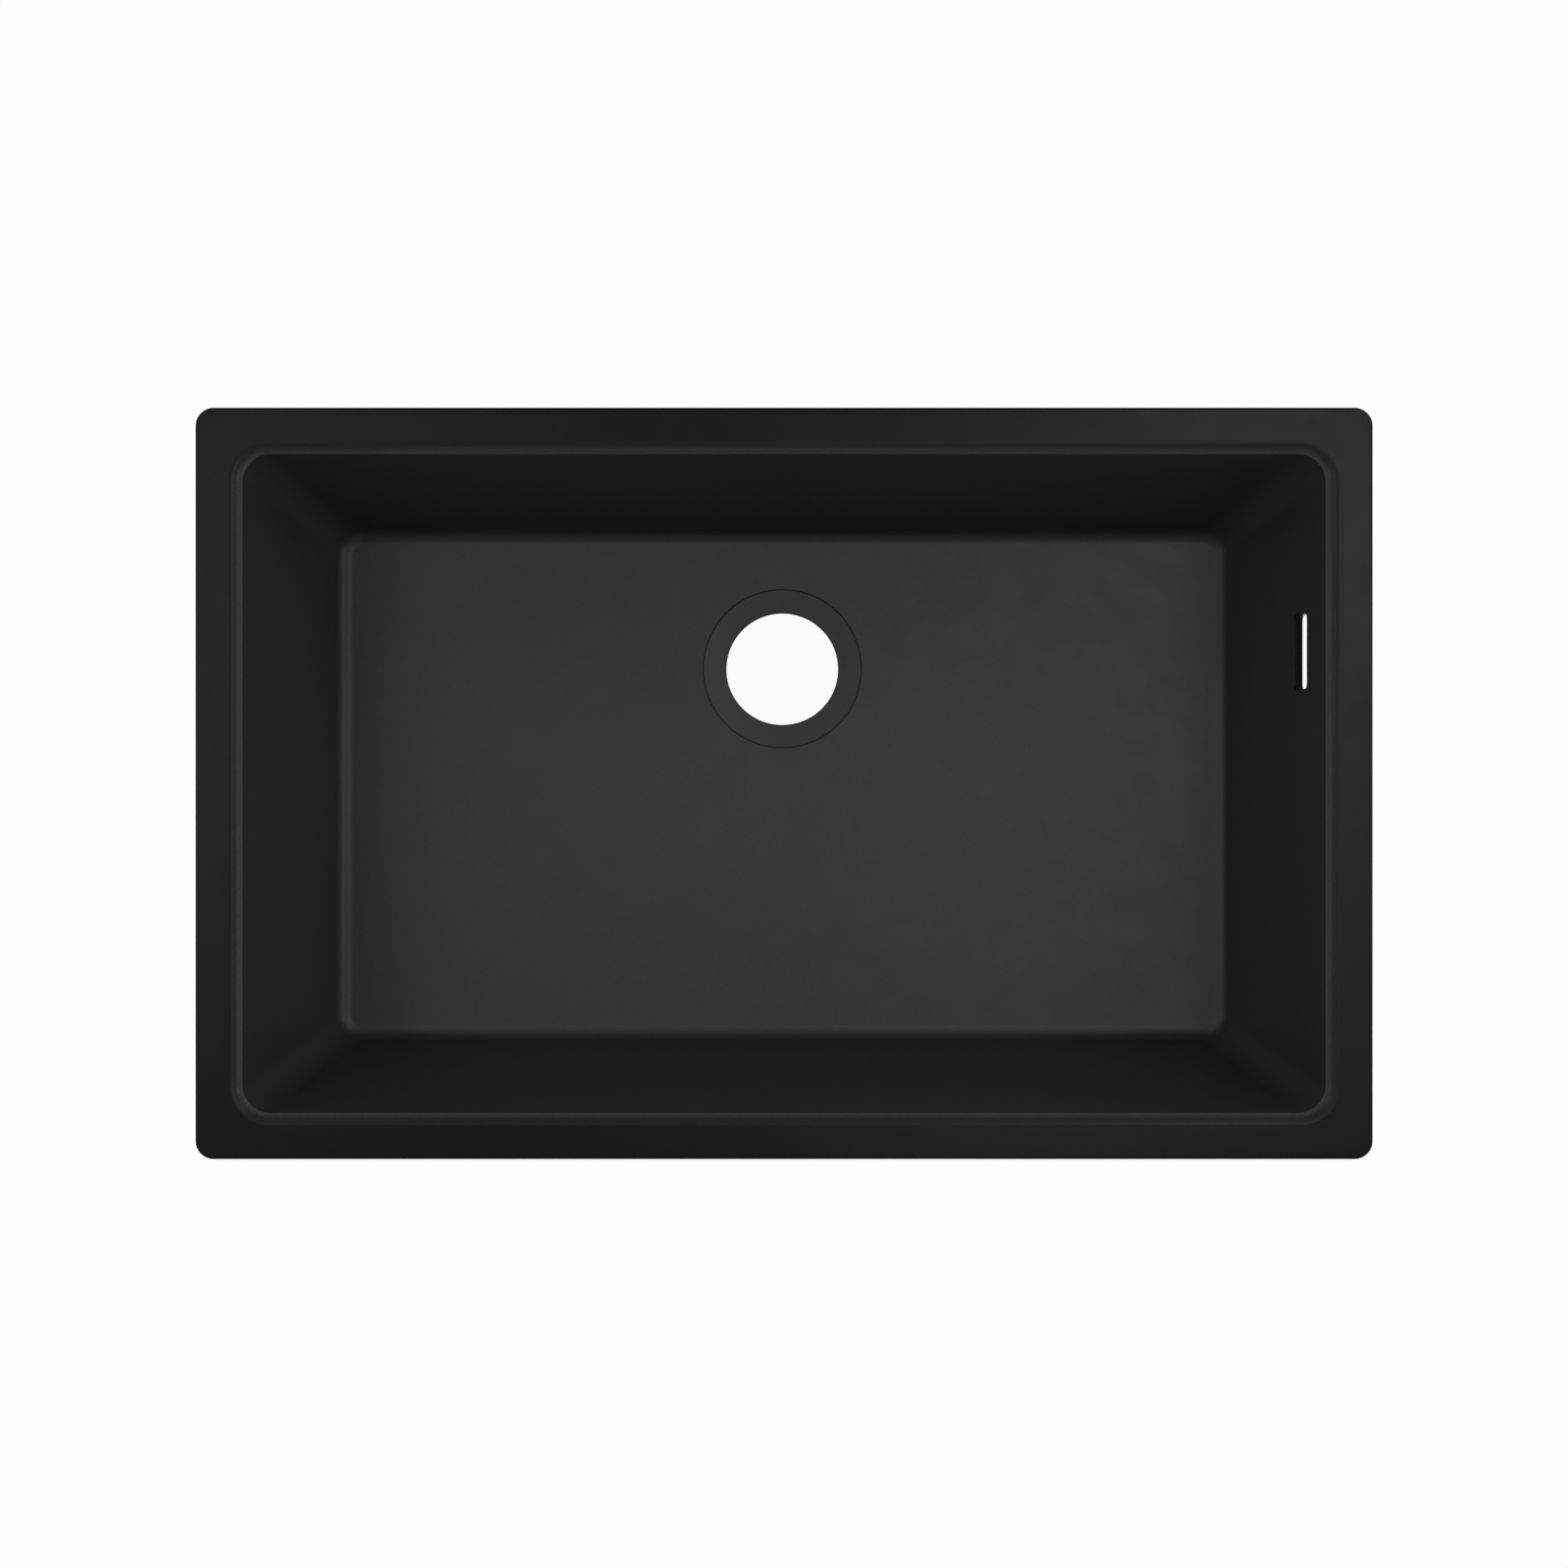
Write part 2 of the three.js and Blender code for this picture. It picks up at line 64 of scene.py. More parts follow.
camera = bpy.data.objects.new("camera", bpy.data.cameras.new("camera"))
camera.location = (-CAMERA_LEFT, -CAMERA_FRONT, RIM_TOP + CAMERA_OVER_RIM)
camera.data.lens = FOCAL_LENGTH
camera.data.sensor_width = 36
camera.data.shift_x = SHIFT_RIGHT
camera.data.shift_y = SHIFT_BACK
scene.collection.objects.link(camera)
scene.camera = camera


# ---- The studio ----
# A pale floor curves up into a backdrop all round. Seen by the camera or in a reflection it is nearly white,
# and it keeps a faint shadow of the sink. Soft lamps hang round it, most of them to the right and the left.
def mesh_object(name, points, faces):
    """A mesh object with smooth faces, from an array of points and the faces' point numbers."""
    mesh = bpy.data.meshes.new(name)
    mesh.from_pydata(np.asarray(points, float).reshape(-1, 3).tolist(), [], [list(face) for face in faces])
    mesh.shade_smooth()
    thing = bpy.data.objects.new(name, mesh)
    scene.collection.objects.link(thing)
    return thing


def quads(rows, columns, rows_closed, columns_closed):
    """Four point numbers for each cell of a grid: (i, j), (i, j + 1), (i + 1, j + 1) and (i + 1, j)."""
    index = np.arange(rows * columns).reshape(rows, columns)
    right = np.roll(index, -1, axis=1)
    down, across = np.roll(index, -1, axis=0), np.roll(right, -1, axis=0)
    cells = np.stack([index, right, across, down], axis=-1)
    cells = cells[: rows if rows_closed else rows - 1, : columns if columns_closed else columns - 1]
    return cells.reshape(-1, 4)


def angles(sides):
    """The directions of that many points, evenly spaced round a circle from +X."""
    return np.linspace(0, 2 * np.pi, sides + 1)[:-1]


FLOOR_RADIUS = 5.0
FLOOR_MIDDLE = 0.05                 # radius of the face that closes it
FLOOR_DROP = 0.0003                 # keeps the floor clear of the foot pads
COVE_RADIUS = 1.5
COVE_TURN = math.radians(50)
BACKDROP_SIDES = 96


def backdrop_points():
    """Rings of radius r at height z: flat, then up the cove's arc, r = R + c sin(a), z = c (1 - cos(a))."""
    turn = np.linspace(0, COVE_TURN, 13)
    flat = np.linspace(FLOOR_MIDDLE, FLOOR_RADIUS, 6)[:-1]
    radius = np.concatenate([flat, FLOOR_RADIUS + COVE_RADIUS * np.sin(turn)])
    height = np.concatenate([0 * flat, COVE_RADIUS * (1 - np.cos(turn))]) - FLOOR_DROP
    x = radius[:, None] * np.cos(angles(BACKDROP_SIDES))
    y = radius[:, None] * np.sin(angles(BACKDROP_SIDES))
    return np.stack([x, y, np.broadcast_to(height[:, None], x.shape)], axis=-1)


backdrop_grid = backdrop_points()
backdrop_faces = quads(*backdrop_grid.shape[:2], False, True)[:, ::-1]
floor = mesh_object("studio_floor", backdrop_grid, [*backdrop_faces, range(BACKDROP_SIDES)])


def new_material(name):
    """A new material, its node tree and its Principled shader."""
    material = bpy.data.materials.new(name)
    material.use_nodes = True
    tree = material.node_tree
    return material, tree, tree.nodes["Principled BSDF"]


def node(tree, kind, inputs=(), **settings):
    """A shader node of that kind, with settings on it and values or links on its inputs."""
    made = tree.nodes.new(kind)
    for key, value in settings.items():
        setattr(made, key, value)
    for key, value in dict(inputs).items():
        if isinstance(value, bpy.types.NodeSocket):
            tree.links.new(value, made.inputs[key])
        else:
            made.inputs[key].default_value = value
    return made


def combined(tree, operation, first, second):
    """The sum, product or the like of two numbers, each a value or a link."""
    return node(tree, "ShaderNodeMath", {0: first, 1: second}, operation=operation).outputs[0]


FLOOR_WHITE = 0.82
FLOOR_ROUGHNESS = 0.9
BACKGROUND_SHARE = 0.96             # of the floor's look to the camera; the rest is the shaded floor
DRAIN_BACK = 93.4 * MM              # the drain's middle behind the bowl's
SHADE_RADIUS = 46 * MM              # painted shadow under the drain: black, so no light goes up the hole
floor_material, tree, floor_shader = new_material("studio_paper")
floor_shader.inputs["Roughness"].default_value = FLOOR_ROUGHNESS
rays = node(tree, "ShaderNodeLightPath").outputs
floor_place = node(tree, "ShaderNodeTexCoord").outputs["Object"]
off_middle = node(
    tree, "ShaderNodeVectorMath", {0: floor_place, 1: (0, DRAIN_BACK, 0)}, operation="DISTANCE"
).outputs["Value"]
outside_painted_shadow = combined(tree, "GREATER_THAN", off_middle, SHADE_RADIUS)
tree.links.new(combined(tree, "MULTIPLY", outside_painted_shadow, FLOOR_WHITE), floor_shader.inputs["Base Color"])
glossy = combined(tree, "MULTIPLY", rays["Is Glossy Ray"], outside_painted_shadow)
through = combined(tree, "MAXIMUM", rays["Is Camera Ray"], rays["Is Transmission Ray"])
seen_share = combined(tree, "MULTIPLY", combined(tree, "MAXIMUM", through, glossy), BACKGROUND_SHARE)
white = node(tree, "ShaderNodeEmission", {"Color": (1, 1, 1, 1), "Strength": 1.0}).outputs[0]
paper = node(tree, "ShaderNodeMixShader", {0: seen_share, 1: floor_shader.outputs[0], 2: white}).outputs[0]
# From below, the camera sees the sink through the floor.
below = node(tree, "ShaderNodeNewGeometry").outputs["Backfacing"]
camera_below = combined(tree, "MULTIPLY", below, rays["Is Camera Ray"])
clear = node(tree, "ShaderNodeBsdfTransparent").outputs[0]
one_sided = node(tree, "ShaderNodeMixShader", {0: camera_below, 1: paper, 2: clear})
tree.links.new(one_sided.outputs[0], tree.nodes["Material Output"].inputs["Surface"])
floor.data.materials.append(floor_material)

WORLD_LEVEL = 0.2
world = bpy.data.worlds.new("studio")
world.use_nodes = True
tree = world.node_tree
sky = tree.nodes["Background"]
sky.inputs["Color"].default_value = (1, 1, 1, 1)
to_camera = node(tree, "ShaderNodeLightPath").outputs["Is Camera Ray"]
level = node(tree, "ShaderNodeMapRange", {"Value": to_camera, "To Min": WORLD_LEVEL, "To Max": 1.0})
tree.links.new(level.outputs[0], sky.inputs["Strength"])
scene.world = world

# The lamps are soft discs on a dome round the bowl's middle, and face it. Each lamp's height over the horizon
# and bearing from +X, both in degrees, its width in metres and its power in watts:
DOME_RADIUS = 2.8
DOME_CENTRE = Vector((0, 0, 0.1))
LAMPS = {
    "lamp_right_low": (20, 0, 0.9, 14),
    "lamp_left_low": (20, 180, 0.9, 10.6),
    "lamp_front_low": (20, 270, 0.9, 5),
    "lamp_right_back": (40, 45, 0.9, 7.1),
    "lamp_left_back": (40, 135, 0.9, 5.5),
    "lamp_left_high": (62, 180, 0.8, 4.6),
    "lamp_right_high": (69, 0, 0.7, 1.8),
    "lamp_right_back_high": (69, 30, 0.7, 7.2),
    "lamp_left_back_high": (69, 150, 0.7, 2.7),
    "lamp_overhead": (80, 330, 0.5, 3.9),
}
for name, (height, bearing, width, power) in LAMPS.items():
    height, bearing = math.radians(height), math.radians(bearing)
    across = math.cos(height)
    outward = Vector((across * math.cos(bearing), across * math.sin(bearing), math.sin(height)))
    lamp = bpy.data.objects.new(name, bpy.data.lights.new(name, "AREA"))
    lamp.data.shape = "DISK"
    lamp.data.size = width
    lamp.data.energy = power
    lamp.location = DOME_CENTRE + DOME_RADIUS * outward
    lamp.rotation_euler = (-outward).to_track_quat("-Z", "Y").to_euler()
    scene.collection.objects.link(lamp)


# ---- The bowl ----
# One casting of quartz sand in black acrylic resin, with its rim, leaning walls, drain recess, foot pads and
# the bosses for its lugs. The mould's polished side makes the fine matt face inside; the outside is rougher.
LENGTH, WIDTH = (bowl_high - bowl_low)[:2]
HALF_LENGTH, HALF_WIDTH = LENGTH / 2, WIDTH / 2
RIM_THICKNESS = 10 * MM
RIM_CORNER = 13 * MM
RIM_TOP_ROUND = 2 * MM
RIM_UNDER_ROUND = 1 * MM
RIM_LAND = 23.8 * MM                # flat band from the outer edge to the lip
LIP_RADIUS = 8.5 * MM
DRAFT = math.radians(9)
WALL = 9 * MM
BOWL_CORNER = 20 * MM
FLOOR_FILLET = 12 * MM
FLOOR_HEIGHT = 12 * MM              # inner floor above the foot pads, at the drain's recess
FLOOR_THICKNESS = 9 * MM
FLOOR_SLOPE = 0.008
UNDER_FILLET = 16 * MM
NECK_FILLET = 6 * MM
HOLE_RADIUS = 45 * MM
RECESS_RADIUS = 64 * MM
RECESS_STEP = 1.5 * MM
RECESS_ROUND = 0.25 * MM            # of the step's two edges
RECESS_STEEPNESS = math.radians(62)
RECESS_DISH = 2.2 * MM
PAD_RADIUS = 66 * MM                # raised ring round the hole, underneath
PAD_FLARE = 2 * MM
SMALL_ROUND = 0.6 * MM
QUARTER = np.pi / 2

LIP_CENTRE = RIM_TOP - LIP_RADIUS
WALL_TOP = LIP_CENTRE + LIP_RADIUS * math.sin(DRAFT)
WALL_TOP_INSET = RIM_LAND + LIP_RADIUS * math.cos(DRAFT)
OUTER_CORNER = BOWL_CORNER + WALL / math.cos(DRAFT)
UNDERSIDE = FLOOR_HEIGHT - FLOOR_THICKNESS
RIM_UNDERSIDE = RIM_TOP - RIM_THICKNESS


def inner_inset(z):
    """How far the inner wall stands in from the rim's outer edge at height z: it leans out by the draft."""
    return WALL_TOP_INSET + (WALL_TOP - z) * math.tan(DRAFT)


def outer_inset(z):
    """The same for the outer wall, which lies the wall's thickness further out, measured square to it."""
    return inner_inset(z) - WALL / math.cos(DRAFT)


def places_around(corner_steps, spacing):
    """Columns u, v and a for the points round a rounded rectangle, counter-clockwise from its back right.

    A point lies at (x u + r cos(a), y v + r sin(a)), with r the corners' radius and x, y their centres.
    """
    signs = np.array([[1, 1], [-1, 1], [-1, -1], [1, -1]], float)
    columns = []
    for quarter, sign in enumerate(signs):
        turn = np.linspace(0, 1, corner_steps + 1)
        columns.append(np.column_stack([np.tile(sign, (len(turn), 1)), (quarter + turn) * QUARTER]))
        length = LENGTH if quarter % 2 == 0 else WIDTH
        along = np.linspace(0, 1, round(length / spacing) + 1)[1:-1, None]
        side = sign + (signs[(quarter + 1) % 4] - sign) * along
        columns.append(np.column_stack([side, np.full(len(side), (quarter + 1) * QUARTER)]))
    return np.concatenate(columns).T


CORNER_STEPS = 14
SIDE_SPACING = 8 * MM
U, V, FACING = places_around(CORNER_STEPS, SIDE_SPACING)


def rectangle_rings(inset, z, corner):
    """Rings of the bowl's plan at arrays of inset, height and corner radius, as (level, point, xyz)."""
    inset, z, corner = (np.atleast_1d(row)[:, None] for row in np.broadcast_arrays(inset, z, corner))
    x = (HALF_LENGTH - inset - corner) * U + corner * np.cos(FACING)
    y = (HALF_WIDTH - inset - corner) * V + corner * np.sin(FACING)
    return np.stack([x, y, np.broadcast_to(z, x.shape)], axis=-1)


def bowl_surface():
    """The whole skin as rings: under the floor, up the outside, over the rim, down the inside to the drain.

    Fillets are arcs, inset = c +- r cos(a) and z = c +- r sin(a). The floor is a cone round the drain, whose
    height over the recess is its slope times the distance, and the floor's fillet climbs the wall with it.
    """
    def steps(count):
        """From 0 to 1 in even steps."""
        return np.linspace(0, 1, count + 1)

    # Outside: bottom edge, wall, neck and the underside of the rim.
    a = steps(12) * (QUARTER - DRAFT)
    fillet_top = UNDERSIDE + UNDER_FILLET * (1 - math.sin(DRAFT))
    centre = outer_inset(fillet_top) + UNDER_FILLET * math.cos(DRAFT)
    inset = centre - UNDER_FILLET * np.sin(a)
    under = rectangle_rings(
        inset, UNDERSIDE + UNDER_FILLET * (1 - np.cos(a)), OUTER_CORNER - inset + outer_inset(fillet_top)
    )
    neck_low = RIM_UNDERSIDE - NECK_FILLET * (1 + math.sin(DRAFT))
    z = fillet_top + (neck_low - fillet_top) * steps(14)[1:-1]
    outside = rectangle_rings(outer_inset(z), z, OUTER_CORNER)
    a = -DRAFT + (QUARTER + DRAFT) * steps(10)
    inset = outer_inset(neck_low) - NECK_FILLET * (math.cos(DRAFT) - np.cos(a))
    neck = rectangle_rings(
        inset, RIM_UNDERSIDE - NECK_FILLET * (1 - np.sin(a)), OUTER_CORNER + outer_inset(neck_low) - inset
    )
    # The rim: its rounded lower and upper edges, its flat land and the lip.
    a = steps(4) * QUARTER
    lower = rectangle_rings(
        RIM_UNDER_ROUND * (1 - np.sin(a)), RIM_UNDERSIDE + RIM_UNDER_ROUND * (1 - np.cos(a)),
        RIM_CORNER - RIM_UNDER_ROUND * (1 - np.sin(a)),
    )
    under_land = neck[-1] + (lower[0] - neck[-1]) * steps(4)[1:-1, None, None]
    a = steps(8) * QUARTER
    upper = rectangle_rings(
        RIM_TOP_ROUND * (1 - np.cos(a)), RIM_TOP - RIM_TOP_ROUND * (1 - np.sin(a)),
        RIM_CORNER - RIM_TOP_ROUND * (1 - np.cos(a)),
    )
    a = steps(18) * (QUARTER - DRAFT)
    inset = RIM_LAND + LIP_RADIUS * np.sin(a)
    lip = rectangle_rings(inset, LIP_CENTRE + LIP_RADIUS * np.cos(a), BOWL_CORNER + WALL_TOP_INSET - inset)
    land = upper[-1] + (lip[0] - upper[-1]) * steps(5)[1:-1, None, None]
    # Inside: the wall, the floor's fillet and the cone of the floor.
    fillet_low = FLOOR_HEIGHT + FLOOR_FILLET * (1 - math.sin(DRAFT))
    z = WALL_TOP + (fillet_low - WALL_TOP) * steps(18)[1:-1]
    wall = rectangle_rings(inner_inset(z), z, BOWL_CORNER)
    a = DRAFT + (QUARTER - DRAFT) * steps(14)
    inset = inner_inset(fillet_low) + FLOOR_FILLET * (math.cos(DRAFT) - np.cos(a))
    fillet = rectangle_rings(
        inset, FLOOR_HEIGHT + FLOOR_FILLET * (1 - np.sin(a)), BOWL_CORNER - inset + inner_inset(fillet_low)
    )
    edge = fillet[-1]
    rise = FLOOR_SLOPE * (np.hypot(edge[:, 0], edge[:, 1] - DRAIN_BACK) - RECESS_RADIUS)
    outward = math.tan(DRAFT) * np.stack([np.cos(FACING), np.sin(FACING)])
    climb = np.stack([*outward, np.ones(len(U))], axis=-1) * rise[:, None]
    wall += climb * steps(18)[1:-1, None, None]
    fillet += climb
    edge = fillet[-1]
    bearing = np.arctan2(edge[:, 1] - DRAIN_BACK, edge[:, 0])

    def drain_rings(radius, z):
        """Rings about the drain, whose points keep the bearings of those on the floor's edge."""
        radius, z = (np.atleast_1d(row)[:, None] for row in np.broadcast_arrays(radius, z))
        x = radius * np.cos(bearing)
        return np.stack([x, DRAIN_BACK + radius * np.sin(bearing), np.broadcast_to(z, x.shape)], axis=-1)

    # The recess: a steep small step with its edges rounded, a shallow dish and the hole with rounded ends.
    foot = FLOOR_HEIGHT - RECESS_STEP
    r, a = RECESS_ROUND, steps(4) * RECESS_STEEPNESS
    run = 2 * r * math.sin(RECESS_STEEPNESS) + (
        (RECESS_STEP - 2 * r * (1 - math.cos(RECESS_STEEPNESS))) / math.tan(RECESS_STEEPNESS)
    )
    recess_edge = drain_rings(RECESS_RADIUS - r * np.sin(a), FLOOR_HEIGHT - r * (1 - np.cos(a)))
    a = a[::-1]
    recess_foot = drain_rings(RECESS_RADIUS - run + r * np.sin(a), foot + r * (1 - np.cos(a)))
    r, a = SMALL_ROUND, steps(5) * QUARTER
    floor_rings = edge + (recess_edge[0] - edge) * steps(26)[1:-1, None, None]
    hole_top = foot - RECESS_DISH
    mouth = drain_rings(HOLE_RADIUS + r * (1 - np.sin(a)), hole_top - r * (1 - np.cos(a)))
    dish = recess_foot[-1] + (mouth[0] - recess_foot[-1]) * steps(5)[1:-1, None, None]
    hole = drain_rings(HOLE_RADIUS, np.linspace(hole_top - r, r, 4)[1:-1])
    hole_end = drain_rings(HOLE_RADIUS + r * (1 - np.cos(a)), r * (1 - np.sin(a)))
    # The raised ring underneath, and the flat underside out to the bottom edge.
    pad = drain_rings(PAD_RADIUS - r + r * np.sin(a), r * (1 - np.cos(a)))
    pad_foot = drain_rings(
        PAD_RADIUS + PAD_FLARE * (1 - np.cos(a[1:])), UNDERSIDE - (UNDERSIDE - r) * (1 - np.sin(a[1:]))
    )
    flat = pad_foot[-1] + (under[0] - pad_foot[-1]) * steps(12)[1:-1, None, None]
    return np.concatenate([
        under, outside, neck, under_land, lower, upper, land, lip, wall, fillet,
        floor_rings, recess_edge, recess_foot, dish, mouth, hole, hole_end, pad, pad_foot, flat,
    ])


skin = bowl_surface()
bowl = mesh_object("sink_bowl", skin, quads(*skin.shape[:2], True, True))


def loft(rings):
    """Points and faces of a closed solid of stacked rings, each joined to the next and both ends filled."""
    rows, columns = rings.shape[:2]
    last = (rows - 1) * columns
    ends = [list(range(columns))[::-1], list(range(last, last + columns))]
    return rings.reshape(-1, 3), [*quads(rows, columns, False, True), *ends]


def joined(name, solids):
    """One mesh object of several solids given as points and faces."""
    counts = np.cumsum([0, *(len(points) for points, _ in solids)])
    points = np.concatenate([points for points, _ in solids])
    faces = [list(np.asarray(face) + start) for start, (_, some) in zip(counts, solids) for face in some]
    return mesh_object(name, points, faces)


def turned_rings(radius, z, sides):
    """Rings about Z at heights z. The radius is one number for each ring, or one for each of its points."""
    radius = np.reshape(radius, (len(z), -1))
    x, y = radius * np.cos(angles(sides)), radius * np.sin(angles(sides))
    return np.stack([x, y, np.broadcast_to(z[:, None], x.shape)], axis=-1)


def arc_steps(count):
    """From 0 to a quarter turn in even steps."""
    return np.linspace(0, QUARTER, count + 1)


# The overflow: a window cut level through the wall, and a flat seat cut into the wall's outside behind it.
OVERFLOW_BACK = 97 * MM             # its middle behind the bowl's
OVERFLOW_LENGTH = 55 * MM
OVERFLOW_HEIGHT = 25 * MM
OVERFLOW_DROP = 43 * MM             # its upper edge below the rim's top
OVERFLOW_CORNER = 4 * MM
OVERFLOW_WALL = 7 * MM              # what the seat leaves of the wall
OVERFLOW_MIDDLE = RIM_TOP - OVERFLOW_DROP - OVERFLOW_HEIGHT / 2
SEAT_LENGTH = OVERFLOW_LENGTH + 40 * MM
SEAT_HEIGHT = OVERFLOW_HEIGHT + 18 * MM
SEAT_CORNER = 8 * MM
EDGE_ROUND = 0.8 * MM               # of the overflow's, the bosses' and the webs' edges
INNER_FACE = HALF_LENGTH - inner_inset(OVERFLOW_MIDDLE)


def rounded_outline(length, height, corner, grow, corner_steps=8):
    """Points (s, t) round a rectangle with round corners, grown outwards by an array of distances."""
    grow = np.atleast_1d(grow)[:, None]
    turn = np.linspace(0, 1, corner_steps + 1)
    quarter = np.repeat(np.arange(4), len(turn))
    angle = (quarter + np.tile(turn, 4)) * QUARTER
    s = np.array([1, -1, -1, 1])[quarter] * (length / 2 - corner) + (corner + grow) * np.cos(angle)
    t = np.array([1, 1, -1, -1])[quarter] * (height / 2 - corner) + (corner + grow) * np.sin(angle)
    return s, t


def window_rings():
    """Rings along X: the outline flares by an arc where it meets the inner wall and the seat."""
    r, a = EDGE_ROUND, arc_steps(6)
    through = OVERFLOW_WALL / math.cos(DRAFT)
    grow = np.concatenate([[r], r * (1 - np.sin(a)), r * (1 - np.cos(a)), [r]])
    depth = np.concatenate([[-2 * r], r * (1 - np.cos(a)), through - r + r * np.sin(a), [through + 2 * r]])
    y, z = rounded_outline(OVERFLOW_LENGTH, OVERFLOW_HEIGHT, OVERFLOW_CORNER, grow)
    x = INNER_FACE + z * math.tan(DRAFT) + depth[:, None]
    return np.stack([x, OVERFLOW_BACK + y, OVERFLOW_MIDDLE + z], axis=-1)


def seat_rings():
    """Rings out along the wall's normal: rounded foot on the seat, straight side, flared mouth."""
    r, a = EDGE_ROUND, arc_steps(5)
    mouth = WALL - OVERFLOW_WALL
    grow = np.concatenate([-r * np.cos(a) ** 2, r * (1 - np.cos(a)), [r]])
    out = np.concatenate([r * (1 - np.cos(a)), mouth - r + r * np.sin(a), [3 * WALL]])
    y, up = rounded_outline(SEAT_LENGTH, SEAT_HEIGHT, SEAT_CORNER, grow)
    out = OVERFLOW_WALL + out[:, None]
    x = INNER_FACE + out * math.cos(DRAFT) + up * math.sin(DRAFT)
    z = OVERFLOW_MIDDLE - out * math.sin(DRAFT) + up * math.cos(DRAFT)
    return np.stack([x, OVERFLOW_BACK + y, z], axis=-1)


# Foot pads: four low discs with a hollow fillet into the underside.
FOOT_RADIUS = 22 * MM
FOOT_FLARE = 1.2 * MM
FOOT_ROOT = 1 * MM                  # how far it reaches up into the floor
FOOT_SIDES = 64
FOOT_X, FOOT_Y = 270 * MM, 130 * MM
FOOT_PLACES = [(x, y, 0) for x in (-FOOT_X, FOOT_X) for y in (-FOOT_Y, FOOT_Y)]


def foot_rings():
    """A turned disc: rounded lower edge and a side that flares into the underside, r = R + f (1 - cos(a))."""
    a, r = arc_steps(5), SMALL_ROUND
    radius = np.concatenate([FOOT_RADIUS - r + r * np.sin(a), FOOT_RADIUS + FOOT_FLARE * (1 - np.cos(a[1:]))])
    height = np.concatenate([r * (1 - np.cos(a)), UNDERSIDE - (UNDERSIDE - r) * (1 - np.sin(a[1:]))])
    radius = np.append(radius, radius[-1])
    return turned_rings(radius, np.append(height, UNDERSIDE + FOOT_ROOT), FOOT_SIDES)


# Bosses: each lug's pivot has a round boss under the rim, webbed to the wall, with a bore for its insert.
BODY_OF_LUGS = {name[len("lug_"):]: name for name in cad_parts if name.startswith("lug_")}
BOSS_DROP = 14 * MM
BOSS_RADIUS = 8.5 * MM
BOSS_ROOT = 2.5 * MM                # hollow fillet into the rim's underside
BOSS_SIDES = 48
WEB_THICKNESS = 8 * MM
WEB_RISE = 0.6 * MM                 # its lower edge above the boss's face
BORE_RADIUS = 5.3 * MM
BORE_LEAD = 0.6 * MM
BORE_STOP = 1.7 * MM                # its end below the rim's underside
BOSS_FACE = RIM_UNDERSIDE - BOSS_DROP
PARKED_TURN = {"front": np.pi, "right": -QUARTER, "back": 0, "left": QUARTER}


def pivot_of(station):
    """The pivot's place and the direction of the parked lug, from the bolt's box and the station's name."""
    low, high = (np.array(corner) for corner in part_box(f"bolt_{station}"))
    return (low + high)[:2] / 2, PARKED_TURN[station.split("_")[0]]


STATIONS = {station: pivot_of(station) for station in BODY_OF_LUGS}


def at_station(points, station):
    """Points made about a pivot at the origin, the parked lug along +X, turned and moved to a station."""
    (x, y), turn = STATIONS[station]
    cos, sin = math.cos(turn), math.sin(turn)
    turned = points @ np.array([[cos, sin, 0], [-sin, cos, 0], [0, 0, 1]])
    return turned + np.array([x, y, 0])


def boss_rings():
    """A turned boss: rounded end, straight side and a flared root in the rim's underside."""
    a, r = arc_steps(5), EDGE_ROUND
    radius = np.concatenate([BOSS_RADIUS - r + r * np.sin(a), BOSS_RADIUS + BOSS_ROOT * (1 - np.cos(a))])
    height = np.concatenate([BOSS_FACE + r * (1 - np.cos(a)), RIM_UNDERSIDE - BOSS_ROOT * (1 - np.sin(a))])
    radius = np.append(radius, radius[-1])
    return turned_rings(radius, np.append(height, RIM_UNDERSIDE + RIM_THICKNESS / 2), BOSS_SIDES)


def web_rings():
    """A rib with rounded long edges, from inside the boss to inside the bowl's wall."""
    half, r, a = WEB_THICKNESS / 2, EDGE_ROUND, arc_steps(4)
    top = RIM_UNDERSIDE + RIM_THICKNESS / 2
    low = BOSS_FACE + WEB_RISE
    edge = half - r + r * np.cos(a)
    across = np.concatenate([[half, half], edge, -edge[::-1], [-half, -half]])
    down = np.concatenate([[top, low + 2 * r], low + r - r * np.sin(a)])
    height = np.concatenate([down, down[::-1]])
    depth = outer_inset(RIM_UNDERSIDE) - (HALF_WIDTH - abs(STATIONS["front_middle"][0][1])) + WALL / 2
    y = np.linspace(-BOSS_RADIUS / 2, -depth, 2)[:, None]
    x = np.broadcast_to(across, (2, len(across)))
    return np.stack([x, np.broadcast_to(y, x.shape), np.broadcast_to(height, x.shape)], axis=-1)


def bore_rings():
    """A bore from below the boss, chamfered at its mouth."""
    radius = BORE_RADIUS + np.array([BORE_LEAD, BORE_LEAD, 0, 0])
    height = np.array([BOSS_FACE - BORE_LEAD, BOSS_FACE, BOSS_FACE + BORE_LEAD, RIM_UNDERSIDE - BORE_STOP])
    return turned_rings(radius, height, BOSS_SIDES)


def solids_at_stations(rings):
    """One closed solid at every station."""
    points, faces = loft(rings)
    return [(at_station(points, station), faces) for station in STATIONS]


foot_points, foot_faces = loft(foot_rings())
added = [
    joined("bosses_and_feet", [
        *solids_at_stations(boss_rings()),
        *((foot_points + np.array(place), foot_faces) for place in FOOT_PLACES),
    ]),
    joined("webs", solids_at_stations(web_rings())),
]
cut = [
    joined("seat_and_bores", [loft(seat_rings()), *solids_at_stations(bore_rings())]),
    joined("window", [loft(window_rings())]),
]


